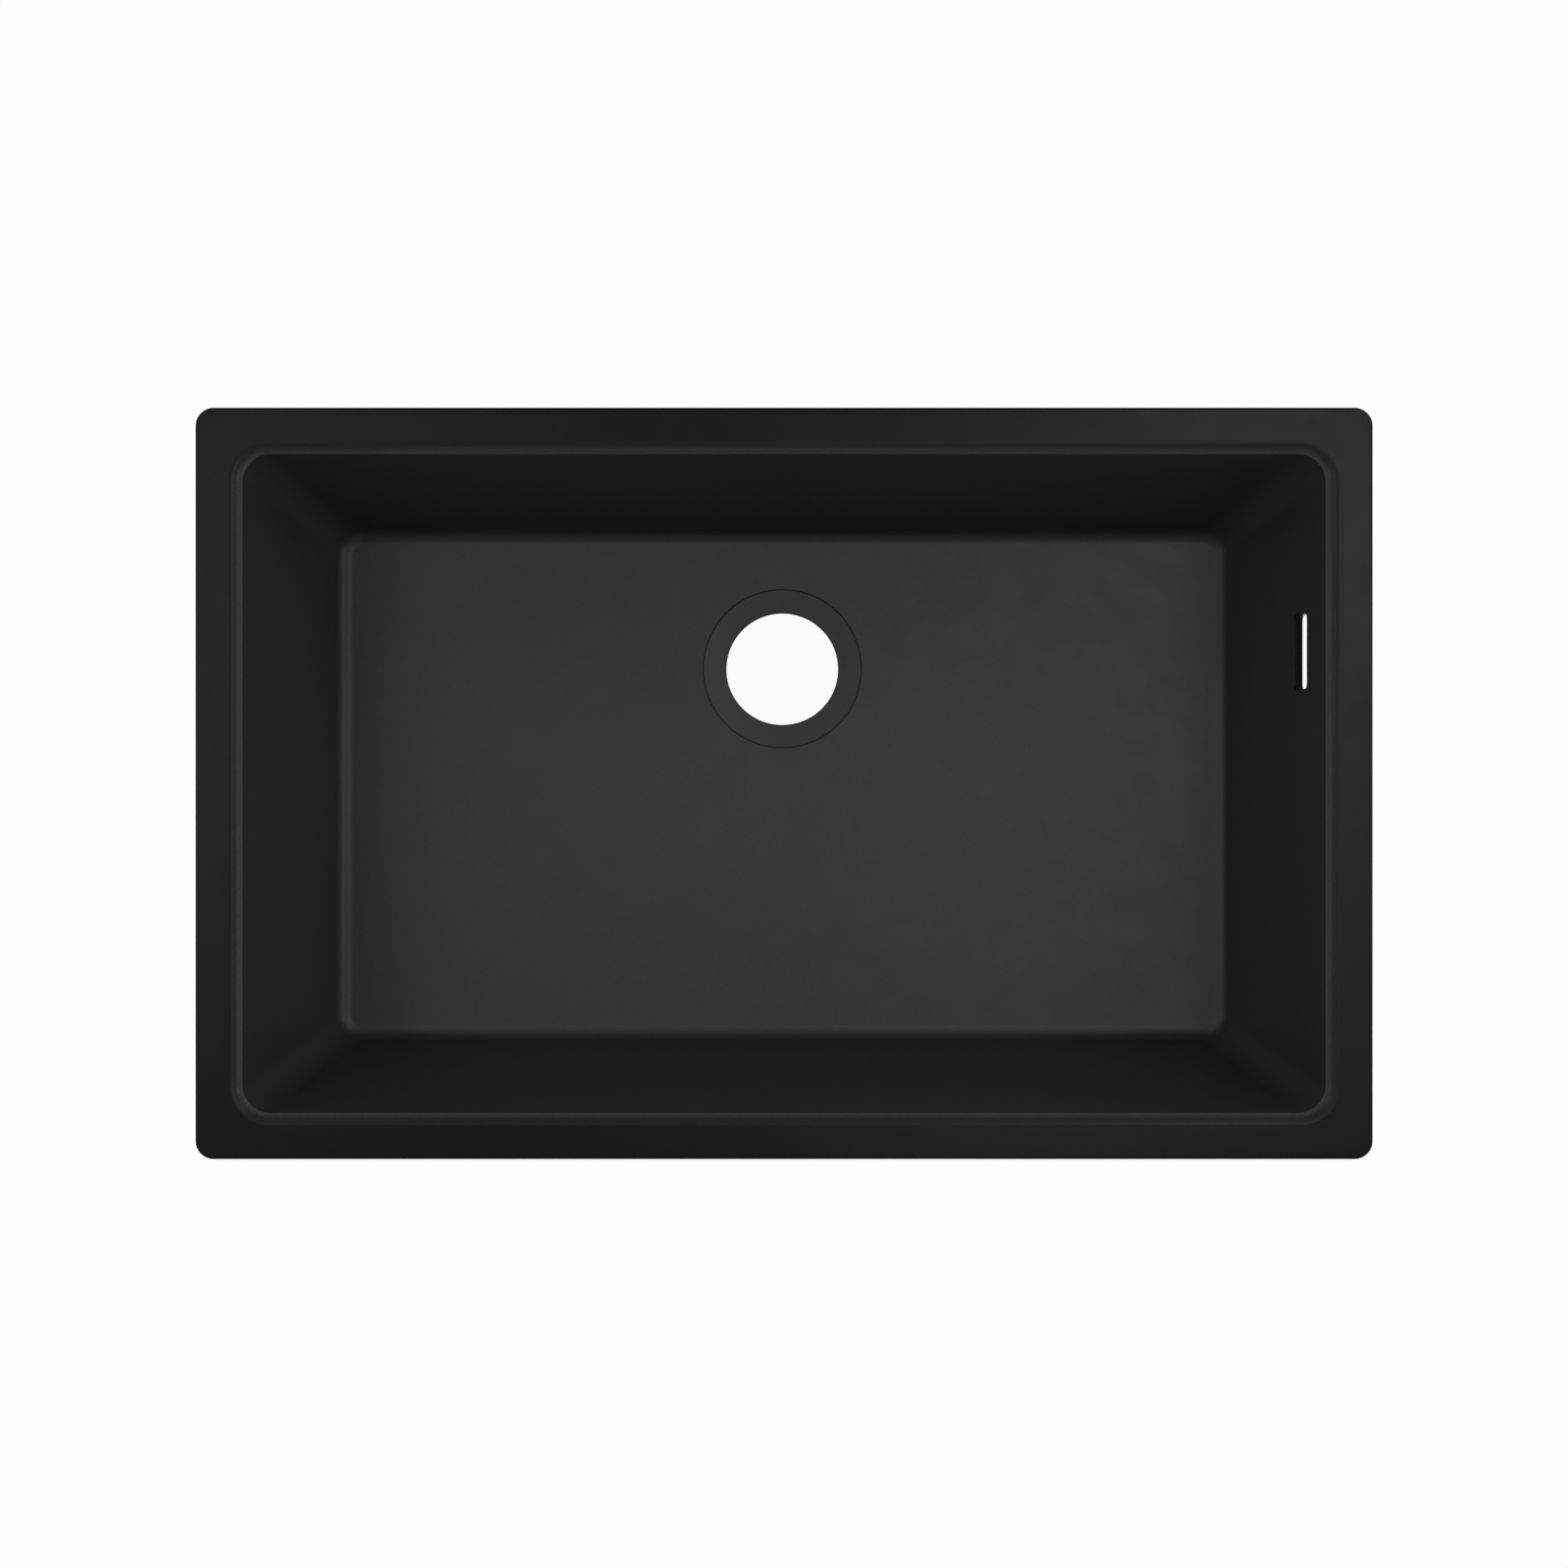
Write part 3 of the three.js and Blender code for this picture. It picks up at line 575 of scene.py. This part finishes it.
def facing_out(thing):
    """Turns a closed mesh's faces outwards."""
    shape = bmesh.new()
    shape.from_mesh(thing.data)
    bmesh.ops.recalc_face_normals(shape, faces=shape.faces)
    shape.to_mesh(thing.data)
    shape.free()


def apply_modifiers(thing):
    """Replaces a piece's mesh by what its modifiers make of it."""
    made = bpy.data.meshes.new_from_object(thing.evaluated_get(bpy.context.evaluated_depsgraph_get()))
    thing.modifiers.clear()
    thing.data = made


def add_and_cut(thing, additions, cuts):
    """Joins closed solids to a piece, then cuts others out of it, and deletes them all."""
    for solid in [thing, *additions, *cuts]:
        facing_out(solid)
    for solids, operation in ((additions, "UNION"), (cuts, "DIFFERENCE")):
        for solid in solids:
            change = thing.modifiers.new(solid.name, "BOOLEAN")
            change.operation = operation
            change.solver = "MANIFOLD"
            change.object = solid
    apply_modifiers(thing)
    for solid in [*additions, *cuts]:
        bpy.data.objects.remove(solid)


add_and_cut(bowl, added, cut)
CREASE = math.radians(40)


def finish_shading(thing):
    """Smooth faces with normals weighted by area, and sharp edges where two meet at more than the crease."""
    thing.data.shade_smooth()
    shape = bmesh.new()
    shape.from_mesh(thing.data)
    for edge in shape.edges:
        edge.smooth = edge.calc_face_angle(0) < CREASE
    shape.to_mesh(thing.data)
    shape.free()
    weighted = thing.modifiers.new("weighted", "WEIGHTED_NORMAL")
    weighted.keep_sharp = True
    apply_modifiers(thing)


finish_shading(bowl)
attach(bowl, "sink")
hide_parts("bowl")


def mixed(tree, kind, share, low, high):
    """Low where the share is 0 and high where it is 1: numbers for a FLOAT mix, colours for an RGBA one."""
    mix = tree.nodes.new("ShaderNodeMix")
    mix.data_type = kind
    sockets = {socket.identifier: socket for socket in mix.inputs}
    ending = {"FLOAT": "Float", "RGBA": "Color"}[kind]
    for key, value in {"Factor_Float": share, f"A_{ending}": low, f"B_{ending}": high}.items():
        if isinstance(value, bpy.types.NodeSocket):
            tree.links.new(value, sockets[key])
        else:
            sockets[key].default_value = value
    return next(socket for socket in mix.outputs if socket.identifier == f"Result_{ending}")


def noise(tree, place, scale, detail, roughness=0.5):
    """A noise with that many lumps to a metre, and with detail finer layers that fade by the roughness."""
    inputs = {"Vector": place, "Scale": scale, "Detail": detail, "Roughness": roughness}
    return node(tree, "ShaderNodeTexNoise", inputs).outputs["Fac"]


def bump(tree, height, strength, depth, under=None):
    """The normals of a relief of that depth, which may lie on another relief's normals."""
    inputs = {"Height": height, "Strength": strength, "Distance": depth}
    if under is not None:
        inputs["Normal"] = under
    return node(tree, "ShaderNodeBump", inputs).outputs["Normal"]


GRAINS_PER_METRE = 3200
GRAIN_TONES = (0.6, 1.4)            # of the darkest and the lightest grain, as shares of the resin's colour
WAVES_PER_METRE = 340
GLOSS_PATCHES_PER_METRE = 45
GLOSS_CHANGE = 0.05
RELIEF_STRENGTH = 0.5


def composite(name, blacks, specular, roughness, relief):
    """Fine sand in black resin: the grains vary in tone, and stand a little proud of the resin.

    The blacks are colours, each with the depth below the rim's top where it is reached; a black that lightens
    deeper down paints a highlight there. The relief is that of the grains, and of the shallow waves some 3 mm
    long that they lie in.
    """
    material, tree, shader = new_material(name)
    place = node(tree, "ShaderNodeTexCoord").outputs["Object"]
    height = node(tree, "ShaderNodeSeparateXYZ", {0: place}).outputs["Z"]
    depth = node(tree, "ShaderNodeMapRange", {
        "Value": height, "From Min": RIM_TOP, "From Max": RIM_TOP - LIP_RADIUS,
    })
    ramp = node(tree, "ShaderNodeValToRGB", {0: depth.outputs[0]})
    stops = ramp.color_ramp.elements
    stops.remove(stops[-1])
    for number, (reached, black) in enumerate(blacks):
        stop = stops.new(reached / LIP_RADIUS) if number else stops[0]
        stop.color = (*black, 1)
    sand = node(tree, "ShaderNodeTexVoronoi", {"Vector": place, "Scale": GRAINS_PER_METRE})
    tone = node(tree, "ShaderNodeSeparateColor", {0: sand.outputs["Color"]}).outputs[0]
    grains = mixed(tree, "FLOAT", tone, *GRAIN_TONES)
    colour = node(
        tree, "ShaderNodeVectorMath", {0: ramp.outputs["Color"], "Scale": grains}, operation="SCALE"
    ).outputs[0]
    tree.links.new(colour, shader.inputs["Base Color"])
    patches = noise(tree, place, GLOSS_PATCHES_PER_METRE, 4, 0.55)
    gloss = mixed(tree, "FLOAT", patches, roughness - GLOSS_CHANGE, roughness + GLOSS_CHANGE)
    tree.links.new(gloss, shader.inputs["Roughness"])
    grit = noise(tree, place, GRAINS_PER_METRE / 2, 3)
    swell = bump(tree, noise(tree, place, WAVES_PER_METRE, 2), RELIEF_STRENGTH, relief)
    tree.links.new(bump(tree, grit, RELIEF_STRENGTH, relief, swell), shader.inputs["Normal"])
    shader.inputs["Specular IOR Level"].default_value = specular
    return material


INSIDE_BLACK = (0.0235, 0.0245, 0.0243)
# Painted shade: the rim's top is painted much darker than the inside, though it is the same stone.
RIM_PAINTED_SHADE_BLACK = (0.006, 0.0062, 0.0062)
OUTSIDE_BLACK = (0.020, 0.0205, 0.0205)
# Painted highlight: the lip is painted lighter where it turns down into the wall, as if lit there.
LIP_PAINTED_HIGHLIGHT_BLACKS = [
    (0, RIM_PAINTED_SHADE_BLACK),
    (0.3 * MM, (0.0130, 0.0133, 0.0133)),
    (1.2 * MM, (0.0205, 0.0210, 0.0210)),
    (2.2 * MM, (0.028, 0.0285, 0.0285)),
    (4.0 * MM, (0.062, 0.0635, 0.0635)),
    (6.8 * MM, (0.100, 0.103, 0.103)),
]
FINISHES = [
    composite(f"black_composite_{name}", blacks, specular, roughness, relief)
    for name, blacks, specular, roughness, relief in [
        ("inside", [(0, INSIDE_BLACK)], 0.5, 0.5, 0.04 * MM),
        ("rim", [(0, RIM_PAINTED_SHADE_BLACK)], 0.16, 0.35, 0.015 * MM),
        ("lip", LIP_PAINTED_HIGHLIGHT_BLACKS, 0.16, 0.38, 0.015 * MM),
        ("outside", [(0, OUTSIDE_BLACK)], 0.4, 0.68, 0.12 * MM),
    ]
]
RIM_FINISH_SHADE_DEPTH = 2.2 * MM         # the rim's finish and painted shade reach this far down its edge
bowl.data.materials.clear()
for finish in FINISHES:
    bowl.data.materials.append(finish)


def share_out_finishes(thing):
    """Gives each face its finish by the place of its middle: 0 inside, 1 on the rim, 2 on the lip, 3 outside.

    The lip begins past the rim's flat land. Inside means within the leaning inner walls and above the edge of
    the drain hole. The rim's finish is painted darker as painted shade, and the lip's is painted lighter as a
    painted highlight. The overflow's window has the rim's finish, which paints shade into the opening.
    """
    centres = np.empty(len(thing.data.polygons) * 3)
    thing.data.polygons.foreach_get("center", centres)
    x, y, z = centres.reshape(-1, 3).T

    def inset_past(wall):
        """How far in from the rim's outer edge, square to the bowl's plan where that is inset by wall.

        In a corner it is the wall's inset and radius less the distance from the corner's centre.
        """
        centre = wall + BOWL_CORNER
        beyond_x, beyond_y = abs(x) - (HALF_LENGTH - centre), abs(y) - (HALF_WIDTH - centre)
        return centre - np.hypot(np.maximum(beyond_x, 0), np.maximum(beyond_y, 0))

    margin, hair = 0.4 * MM, 0.02 * MM
    wall = inner_inset(z)
    inside = (inset_past(wall) > wall - margin) & (z > FLOOR_HEIGHT - RECESS_STEP - RECESS_DISH - margin)
    past_land = inset_past(WALL_TOP_INSET) > RIM_LAND
    on_lip = past_land & (z > WALL_TOP)
    on_rim = ~past_land & (z > RIM_TOP - RIM_FINISH_SHADE_DEPTH)
    # Painted shade: the window's faces take the rim's darker black, which darkens the opening.
    in_window = (
        (x > 0) & (HALF_LENGTH - x < wall - hair)
        & (HALF_LENGTH - x > wall - OVERFLOW_WALL / math.cos(DRAFT) + margin)
        & (abs(y - OVERFLOW_BACK) < OVERFLOW_LENGTH / 2 + 2 * margin)
        & (abs(z - OVERFLOW_MIDDLE) < OVERFLOW_HEIGHT / 2 + 2 * margin)
    )
    finish = np.select([on_lip, on_rim | in_window, inside], [2, 1, 0], 3)
    thing.data.polygons.foreach_set("material_index", finish.astype(np.int32))


share_out_finishes(bowl)


# ---- The threaded inserts ----
# Ten brass bushes, turned from bar, which are moulded into the bosses while the bowl is cast. Straight knurls
# and a groove round the middle keep them from turning or pulling out of the stone, which hides them.
BOLT_HOLE_RADIUS = 3.3 * MM
INSERT_RADIUS = 5 * MM
INSERT_CHAMFER = 0.5 * MM
GROOVE_RADIUS = 4.4 * MM
GROOVE_HALF_HEIGHT = 1.2 * MM
GROOVE_SLOPE = 0.6 * MM
KNURLS = 30
KNURL_DEPTH = 0.25 * MM


def heights(kind):
    """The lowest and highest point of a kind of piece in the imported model."""
    low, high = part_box(f"{kind}_front_middle")
    return low[2], high[2]


def insert_rings():
    """A tube of rings up the chamfered bore and down the outside.

    The outside's radius is R - d k (1 + cos(n a)) / 2, with n knurls of depth d, and k = 1 where there are
    any.
    """
    low, high = heights("insert")
    middle, chamfer = (low + high) / 2, INSERT_CHAMFER
    half_groove, slope = GROOVE_HALF_HEIGHT, GROOVE_SLOPE
    up = np.array([low, low + chamfer, high - chamfer, high])
    bore = np.array([chamfer, 0, 0, chamfer]) + BOLT_HOLE_RADIUS
    # Down the outside: its height, its radius and the share of the knurls.
    rows = np.array([
        [high, INSERT_RADIUS - chamfer, 0],
        [high - chamfer, INSERT_RADIUS, 1],
        [middle + half_groove + slope, INSERT_RADIUS, 1],
        [middle + half_groove, GROOVE_RADIUS, 0],
        [middle - half_groove, GROOVE_RADIUS, 0],
        [middle - half_groove - slope, INSERT_RADIUS, 1],
        [low + 2 * chamfer, INSERT_RADIUS, 1],
        [low + 1.6 * chamfer, INSERT_RADIUS, 0],
        [low + chamfer, INSERT_RADIUS, 0],
        [low, INSERT_RADIUS - chamfer, 0],
    ])
    sides = 4 * KNURLS
    ridge = KNURL_DEPTH * (1 + np.cos(KNURLS * angles(sides))) / 2
    outside = rows[:, 1, None] - rows[:, 2, None] * ridge
    radius = np.concatenate([np.tile(bore[:, None], sides), outside])
    return turned_rings(radius, np.concatenate([up, rows[:, 0]]), sides)


def ring_tube(name, rings):
    """A closed tube of rings, with its faces outwards."""
    thing = mesh_object(name, rings, quads(*rings.shape[:2], True, True))
    facing_out(thing)
    return thing


def keep_own_place(pattern):
    """Writes each point's place about the pivot as an attribute, for the grain in the piece's material."""
    points = np.empty(len(pattern.data.vertices) * 3, np.float32)
    pattern.data.vertices.foreach_get("co", points)
    pattern.data.attributes.new("own_place", "FLOAT_VECTOR", "POINT").data.foreach_set("vector", points)


def fit_at_stations(pattern, kind, material, bodies=None):
    """Puts a copy of a piece made about its pivot at each station, in its CAD node's place, on its body."""
    keep_own_place(pattern)
    finish_shading(pattern)
    pattern.data.materials.append(material)
    for station, ((x, y), turn) in STATIONS.items():
        mesh = pattern.data.copy()
        mesh.transform(Matrix.Translation((x, y, 0)) @ Matrix.Rotation(turn, 4, "Z"))
        piece = bpy.data.objects.new(f"{pattern.name}_{station}", mesh)
        scene.collection.objects.link(piece)
        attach(piece, bodies[station] if bodies else "sink")
        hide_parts(f"{kind}_{station}")
    bpy.data.objects.remove(pattern)


MARK_DEPTH = 0.1 * MM
METAL_RELIEF = 0.25
DRIFTS_PER_METRE = 260


def dress(tree, shader, patches, tones, marks, roughness, strength):
    """Mixes two tones by the patches and two roughnesses by the marks, which also stand out as relief."""
    tree.links.new(mixed(tree, "RGBA", patches, *tones), shader.inputs["Base Color"])
    tree.links.new(mixed(tree, "FLOAT", marks, *roughness), shader.inputs["Roughness"])
    tree.links.new(bump(tree, marks, strength, MARK_DEPTH), shader.inputs["Normal"])


def metal(name, tones, roughness, grain):
    """A metal whose colour drifts between two tones over some millimetres, with a fine grain in its gloss.

    The grain stretches the noise by a factor along each of the piece's own axes.
    """
    material, tree, shader = new_material(name)
    place = node(tree, "ShaderNodeTexCoord").outputs["Object"]
    own = node(tree, "ShaderNodeAttribute", attribute_name="own_place").outputs["Vector"]
    stretched = node(tree, "ShaderNodeMapping", {"Vector": own, "Scale": grain}).outputs[0]
    drift, marks = noise(tree, place, DRIFTS_PER_METRE, 5, 0.7), noise(tree, stretched, 1, 5, 0.7)
    dress(tree, shader, drift, tones, marks, roughness, METAL_RELIEF)
    shader.inputs["Metallic"].default_value = 1
    return material


BRASS_TONES = (0.74, 0.56, 0.27, 1), (0.60, 0.42, 0.19, 1)
brass = metal("turned_brass", BRASS_TONES, roughness=(0.24, 0.46), grain=(1200, 1200, 9000))
fit_at_stations(ring_tube("brass_insert", insert_rings()), "insert", brass)


# ---- The slip washers ----
# A moulded nylon washer with rounded edges lies between each boss and its lug, so that the lug turns without
# scraping the stone. Nylon has a waxy gloss and a slightly yellow white.
SLIP_WASHER_RADIUS = 8 * MM
SLIP_WASHER_ROUND = 0.35 * MM
SLIP_WASHER_SIDES = 64
NYLON_TONES = (0.80, 0.78, 0.70, 1), (0.72, 0.69, 0.60, 1)
NYLON_ROUGHNESS = (0.36, 0.54)
NYLON_RELIEF = 0.2
CLOUDS_PER_METRE = 350
PORES_PER_METRE = 4500


def washer_section(kind, radius, corner):
    """The radius and height of the points round a flat washer's section, with round corners."""
    low, high = heights(kind)
    across, up = rounded_outline(radius - BOLT_HOLE_RADIUS, high - low, corner, 0, corner_steps=4)
    return (radius + BOLT_HOLE_RADIUS) / 2 + across[0], (low + high) / 2 + up[0]


nylon, tree, shader = new_material("natural_nylon")
own = node(tree, "ShaderNodeAttribute", attribute_name="own_place").outputs["Vector"]
clouds, pores = noise(tree, own, CLOUDS_PER_METRE, 3), noise(tree, own, PORES_PER_METRE, 2)
dress(tree, shader, clouds, NYLON_TONES, pores, NYLON_ROUGHNESS, NYLON_RELIEF)
slip_washer_section = washer_section("slip_washer", SLIP_WASHER_RADIUS, SLIP_WASHER_ROUND)
nylon_washer = ring_tube("nylon_washer", turned_rings(*slip_washer_section, SLIP_WASHER_SIDES))
fit_at_stations(nylon_washer, "slip_washer", nylon)


# ---- The lugs ----
# Each lug is pressed from 3 mm steel strip, with a step that lifts its slotted tab nearer to the worktop. It
# is tumbled to blunt its edges and zinc plated. It is the one piece that moves: it swings out about its bolt.
LUG_THICKNESS = 3 * MM
LUG_HALF_WIDTH = 9 * MM
LUG_REACH = 53 * MM                 # pivot to tip
LUG_TIP_RADIUS = 6 * MM
LUG_EDGE_ROUND = 0.45 * MM
SHOULDER_RADIUS = 0.8 * MM          # of the square corner that stops against the bowl
LUG_STEP_START = 12 * MM            # from the pivot
LUG_STEP_RUN = 8 * MM
SLOT_MIDDLE = 36 * MM
SLOT_LENGTH = 22 * MM
SLOT_WIDTH = 7 * MM
LUG_LOW, LUG_HIGH = heights("lug")
LUG_STEP = LUG_HIGH - LUG_LOW - LUG_THICKNESS
LUG_PIVOT_MIDDLE = LUG_LOW + LUG_THICKNESS / 2
LUG_HEEL = STATIONS["back_middle"][0][0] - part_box("lug_back_middle")[0][0]


def rounded_edges(thickness, r, steps):
    """Insets and heights up a plate's side, both its edges rounded: r (1 - sin(a)) and r (1 - cos(a))."""
    a = arc_steps(steps)
    inset, height = r * (1 - np.sin(a)), r * (1 - np.cos(a))
    return np.concatenate([inset, inset[::-1]]), np.concatenate([height, thickness - height[::-1]])


def lug_rings():
    """Outlines of the flat blank up its thickness. Each corner is an arc, x = c + (r - inset) cos(a)."""
    # The centre, radius and first direction of each corner, counter-clockwise from the tip.
    corners = np.array([
        [LUG_REACH - LUG_TIP_RADIUS, LUG_HALF_WIDTH - LUG_TIP_RADIUS, LUG_TIP_RADIUS, 0],
        [SHOULDER_RADIUS - LUG_HEEL, LUG_HALF_WIDTH - SHOULDER_RADIUS, SHOULDER_RADIUS, QUARTER],
        [LUG_HALF_WIDTH - LUG_HEEL, 0, LUG_HALF_WIDTH, 2 * QUARTER],
        [LUG_REACH - LUG_TIP_RADIUS, LUG_TIP_RADIUS - LUG_HALF_WIDTH, LUG_TIP_RADIUS, 3 * QUARTER],
    ])
    turn = arc_steps(10)
    x, y, radius, first = (np.repeat(column, len(turn)) for column in corners.T)
    angle = first + np.tile(turn, len(corners))
    inset, height = rounded_edges(LUG_THICKNESS, LUG_EDGE_ROUND, 4)
    radius = radius - inset[:, None]
    z = np.broadcast_to(LUG_LOW + height[:, None], radius.shape)
    return np.stack([x + radius * np.cos(angle), y + radius * np.sin(angle), z], axis=-1)


def punch_rings(middle, length, width):
    """A punch for a round-ended hole. It flares at both faces, so that the hole's edges come out rounded."""
    inset, height = rounded_edges(LUG_THICKNESS, LUG_EDGE_ROUND, 4)
    beyond = 2 * LUG_EDGE_ROUND
    grow = np.concatenate([[LUG_EDGE_ROUND], inset, [LUG_EDGE_ROUND]])
    z = LUG_LOW + np.concatenate([[-beyond], height, [LUG_THICKNESS + beyond]])
    x, y = rounded_outline(length, width, width / 2, grow)
    return np.stack([middle + x, y, np.broadcast_to(z[:, None], x.shape)], axis=-1)


def step_up(thing):
    """Bends the flat blank along an S curve, h (3 t^2 - 2 t^3), and keeps its thickness square to that."""
    shape = bmesh.new()
    shape.from_mesh(thing.data)
    for along in np.linspace(LUG_STEP_START, LUG_STEP_START + LUG_STEP_RUN, 17):
        everything = [*shape.verts, *shape.edges, *shape.faces]
        bmesh.ops.bisect_plane(shape, geom=everything, plane_co=(along, 0, 0), plane_no=(1, 0, 0))
    shape.to_mesh(thing.data)
    shape.free()
    points = np.empty(len(thing.data.vertices) * 3)
    thing.data.vertices.foreach_get("co", points)
    x, y, z = points.reshape(-1, 3).T
    t = np.clip((x - LUG_STEP_START) / LUG_STEP_RUN, 0, 1)
    slope = np.arctan(LUG_STEP / LUG_STEP_RUN * 6 * t * (1 - t))
    off = z - LUG_PIVOT_MIDDLE
    rise = LUG_STEP * (3 * t ** 2 - 2 * t ** 3)
    bent = np.column_stack([x - off * np.sin(slope), y, LUG_PIVOT_MIDDLE + rise + off * np.cos(slope)])
    thing.data.vertices.foreach_set("co", bent.ravel())


lug = joined("pressed_lug", [loft(lug_rings())])
punches = [
    joined("pivot_punch", [loft(punch_rings(0, 2 * BOLT_HOLE_RADIUS, 2 * BOLT_HOLE_RADIUS))]),
    joined("slot_punch", [loft(punch_rings(SLOT_MIDDLE, SLOT_LENGTH, SLOT_WIDTH))]),
]
add_and_cut(lug, [], punches)
step_up(lug)
ZINC_TONES = (0.80, 0.82, 0.84, 1), (0.42, 0.44, 0.48, 1)
zinc = metal("zinc_plated_steel", ZINC_TONES, roughness=(0.22, 0.46), grain=(700, 3500, 3500))
fit_at_stations(lug, "lug", zinc, BODY_OF_LUGS)


# ---- The spring washers ----
# Split rings wound from flattened steel wire, cut off aslant and hardened, which leaves them dark. Each one
# keeps its bolt from working loose while the lug swings.
SPRING_WASHER_RADIUS = 5.5 * MM
SPRING_WASHER_ROUND = 0.3 * MM
SPRING_WASHER_SPLIT = 1.4 * MM
SPLIT_SLANT = math.radians(20)


def spring_rings():
    """The section carried round from one side of the split to the other, at x = r cos(a), y = r sin(a).

    The split leans: a point at height h over the washer's middle is turned on by h tan(slant) / R.
    """
    radius, z = washer_section("spring_washer", SPRING_WASHER_RADIUS, SPRING_WASHER_ROUND)
    half_split = math.asin(SPRING_WASHER_SPLIT / 2 / SPRING_WASHER_RADIUS)
    angle = np.linspace(half_split, 2 * np.pi - half_split, 61)[:, None]
    angle = angle + (z - z.mean()) * math.tan(SPLIT_SLANT) / SPRING_WASHER_RADIUS
    x, y = radius * np.cos(angle), radius * np.sin(angle)
    return np.stack([x, y, np.broadcast_to(z, x.shape)], axis=-1)


spring_washer = joined("spring_washer", [loft(spring_rings())])
facing_out(spring_washer)
SPRING_STEEL_TONES = (0.30, 0.30, 0.31, 1), (0.20, 0.20, 0.22, 1)
spring_steel = metal("spring_steel", SPRING_STEEL_TONES, roughness=(0.30, 0.52), grain=(2500, 2500, 6000))
fit_at_stations(spring_washer, "spring_washer", spring_steel)


# ---- The bolts ----
# M6 hexagon flange bolts, cold headed from steel wire, with rolled threads and zinc plating. Each one runs up
# through a spring washer, a lug and a slip washer into an insert. Its head has a shallow dish and a chamfer.
BOLT_RADIUS = 3 * MM
BOLT_END_CHAMFER = 0.8 * MM
BOLT_SIDES = 48
THREAD_PITCH = 1 * MM
THREAD_DEPTH = 0.55 * MM
THREAD_START = 2.5 * MM             # above the seat
PLAIN_SHANK = 1 * MM                # above the seat, before the thread's closer rings
HEX_HALF_WIDTH = 5 * MM
HEX_HEIGHT = 4.4 * MM
HEX_SHARPNESS = 40
HEX_CHAMFER_RADIUS = 4.65 * MM      # of the chamfer's cone at the head's face
HEX_CHAMFER_HEIGHT = 0.6 * MM
HEX_CHAMFER_SLOPE = math.radians(30)
DISH_RADIUS = 2.2 * MM
DISH_EDGE_RADIUS = 3.1 * MM
DISH_DEPTH = 0.45 * MM
FLANGE_RADIUS = 6.5 * MM
FLANGE_THICKNESS = 1.4 * MM
FLANGE_SLOPE = math.radians(26)
FLANGE_EDGE = 0.7 * MM              # straight part of the flange's rim
FLANGE_LOWER_BLUNT = 0.15 * MM
FLANGE_UPPER_BLUNT = 0.2 * MM
FLANGE_LEAD = 0.5 * MM              # below the flange, where its closer rings begin
SHANK_FILLET = 0.25 * MM


def bolt_rings():
    """Rings from the dish in the head up to the shank's end.

    The hexagon is r = (sum over its sides of (cos(a - side) / w)^p)^(-1/p), which rounds its corners a
    little. The chamfer is a cone that limits it, and the flange is a flatter cone that it runs out into. The
    thread is r = R - d |2 f - 1|, where f is the fraction of the turn that z / pitch - a / 2 pi has reached.
    """
    low, end = heights("bolt")
    seat = low + HEX_HEIGHT + FLANGE_THICKNESS
    angle = angles(BOLT_SIDES)
    sides = np.arange(6)[:, None] * np.pi / 3
    facing = np.clip(np.cos(angle - sides), 0, None) / HEX_HALF_WIDTH
    hexagon = (facing ** HEX_SHARPNESS).sum(axis=0) ** (-1 / HEX_SHARPNESS)
    rows = []

    def add(radius, z):
        """Adds round rings."""
        radius, z = np.broadcast_arrays(np.atleast_1d(radius), np.atleast_1d(z))
        rows.extend((np.full(BOLT_SIDES, r), height) for r, height in zip(radius, z))

    a = arc_steps(4)
    add([DISH_RADIUS / 2, DISH_RADIUS], low + DISH_DEPTH)
    add(
        DISH_RADIUS + (DISH_EDGE_RADIUS - DISH_RADIUS) * np.sin(a[1:]),
        low + DISH_DEPTH * np.cos(a[1:]),
    )
    for z in low + np.linspace(0, HEX_CHAMFER_HEIGHT, 8):
        cone = HEX_CHAMFER_RADIUS + (z - low) / math.tan(HEX_CHAMFER_SLOPE)
        rows.append((np.minimum(hexagon, cone), z))
    edge_foot = seat - FLANGE_EDGE
    for z in np.linspace(seat - FLANGE_THICKNESS - FLANGE_LEAD, edge_foot, 10):
        cone = FLANGE_RADIUS - FLANGE_LOWER_BLUNT - (edge_foot - z) / math.tan(FLANGE_SLOPE)
        rows.append((np.maximum(hexagon, cone), z))
    add([FLANGE_RADIUS, FLANGE_RADIUS], [edge_foot + FLANGE_LOWER_BLUNT, seat - FLANGE_UPPER_BLUNT])
    add(FLANGE_RADIUS - FLANGE_UPPER_BLUNT, seat)
    add(BOLT_RADIUS + SHANK_FILLET * (1 - np.sin(a)), seat + SHANK_FILLET * (1 - np.cos(a)))
    for z in np.arange(seat + PLAIN_SHANK, end, THREAD_PITCH / 6):
        grown = np.clip((z - seat - THREAD_START) / THREAD_PITCH, 0, 1)
        turn = (z / THREAD_PITCH - angle / (2 * np.pi)) % 1
        thread = BOLT_RADIUS - grown * THREAD_DEPTH * abs(2 * turn - 1)
        rows.append((np.minimum(thread, BOLT_RADIUS - BOLT_END_CHAMFER + (end - z)), z))
    add(BOLT_RADIUS - BOLT_END_CHAMFER, end)
    return turned_rings(np.array([radius for radius, _ in rows]), np.array([z for _, z in rows]), BOLT_SIDES)


bolt = joined("flange_bolt", [loft(bolt_rings())])
facing_out(bolt)
fit_at_stations(bolt, "bolt", zinc)
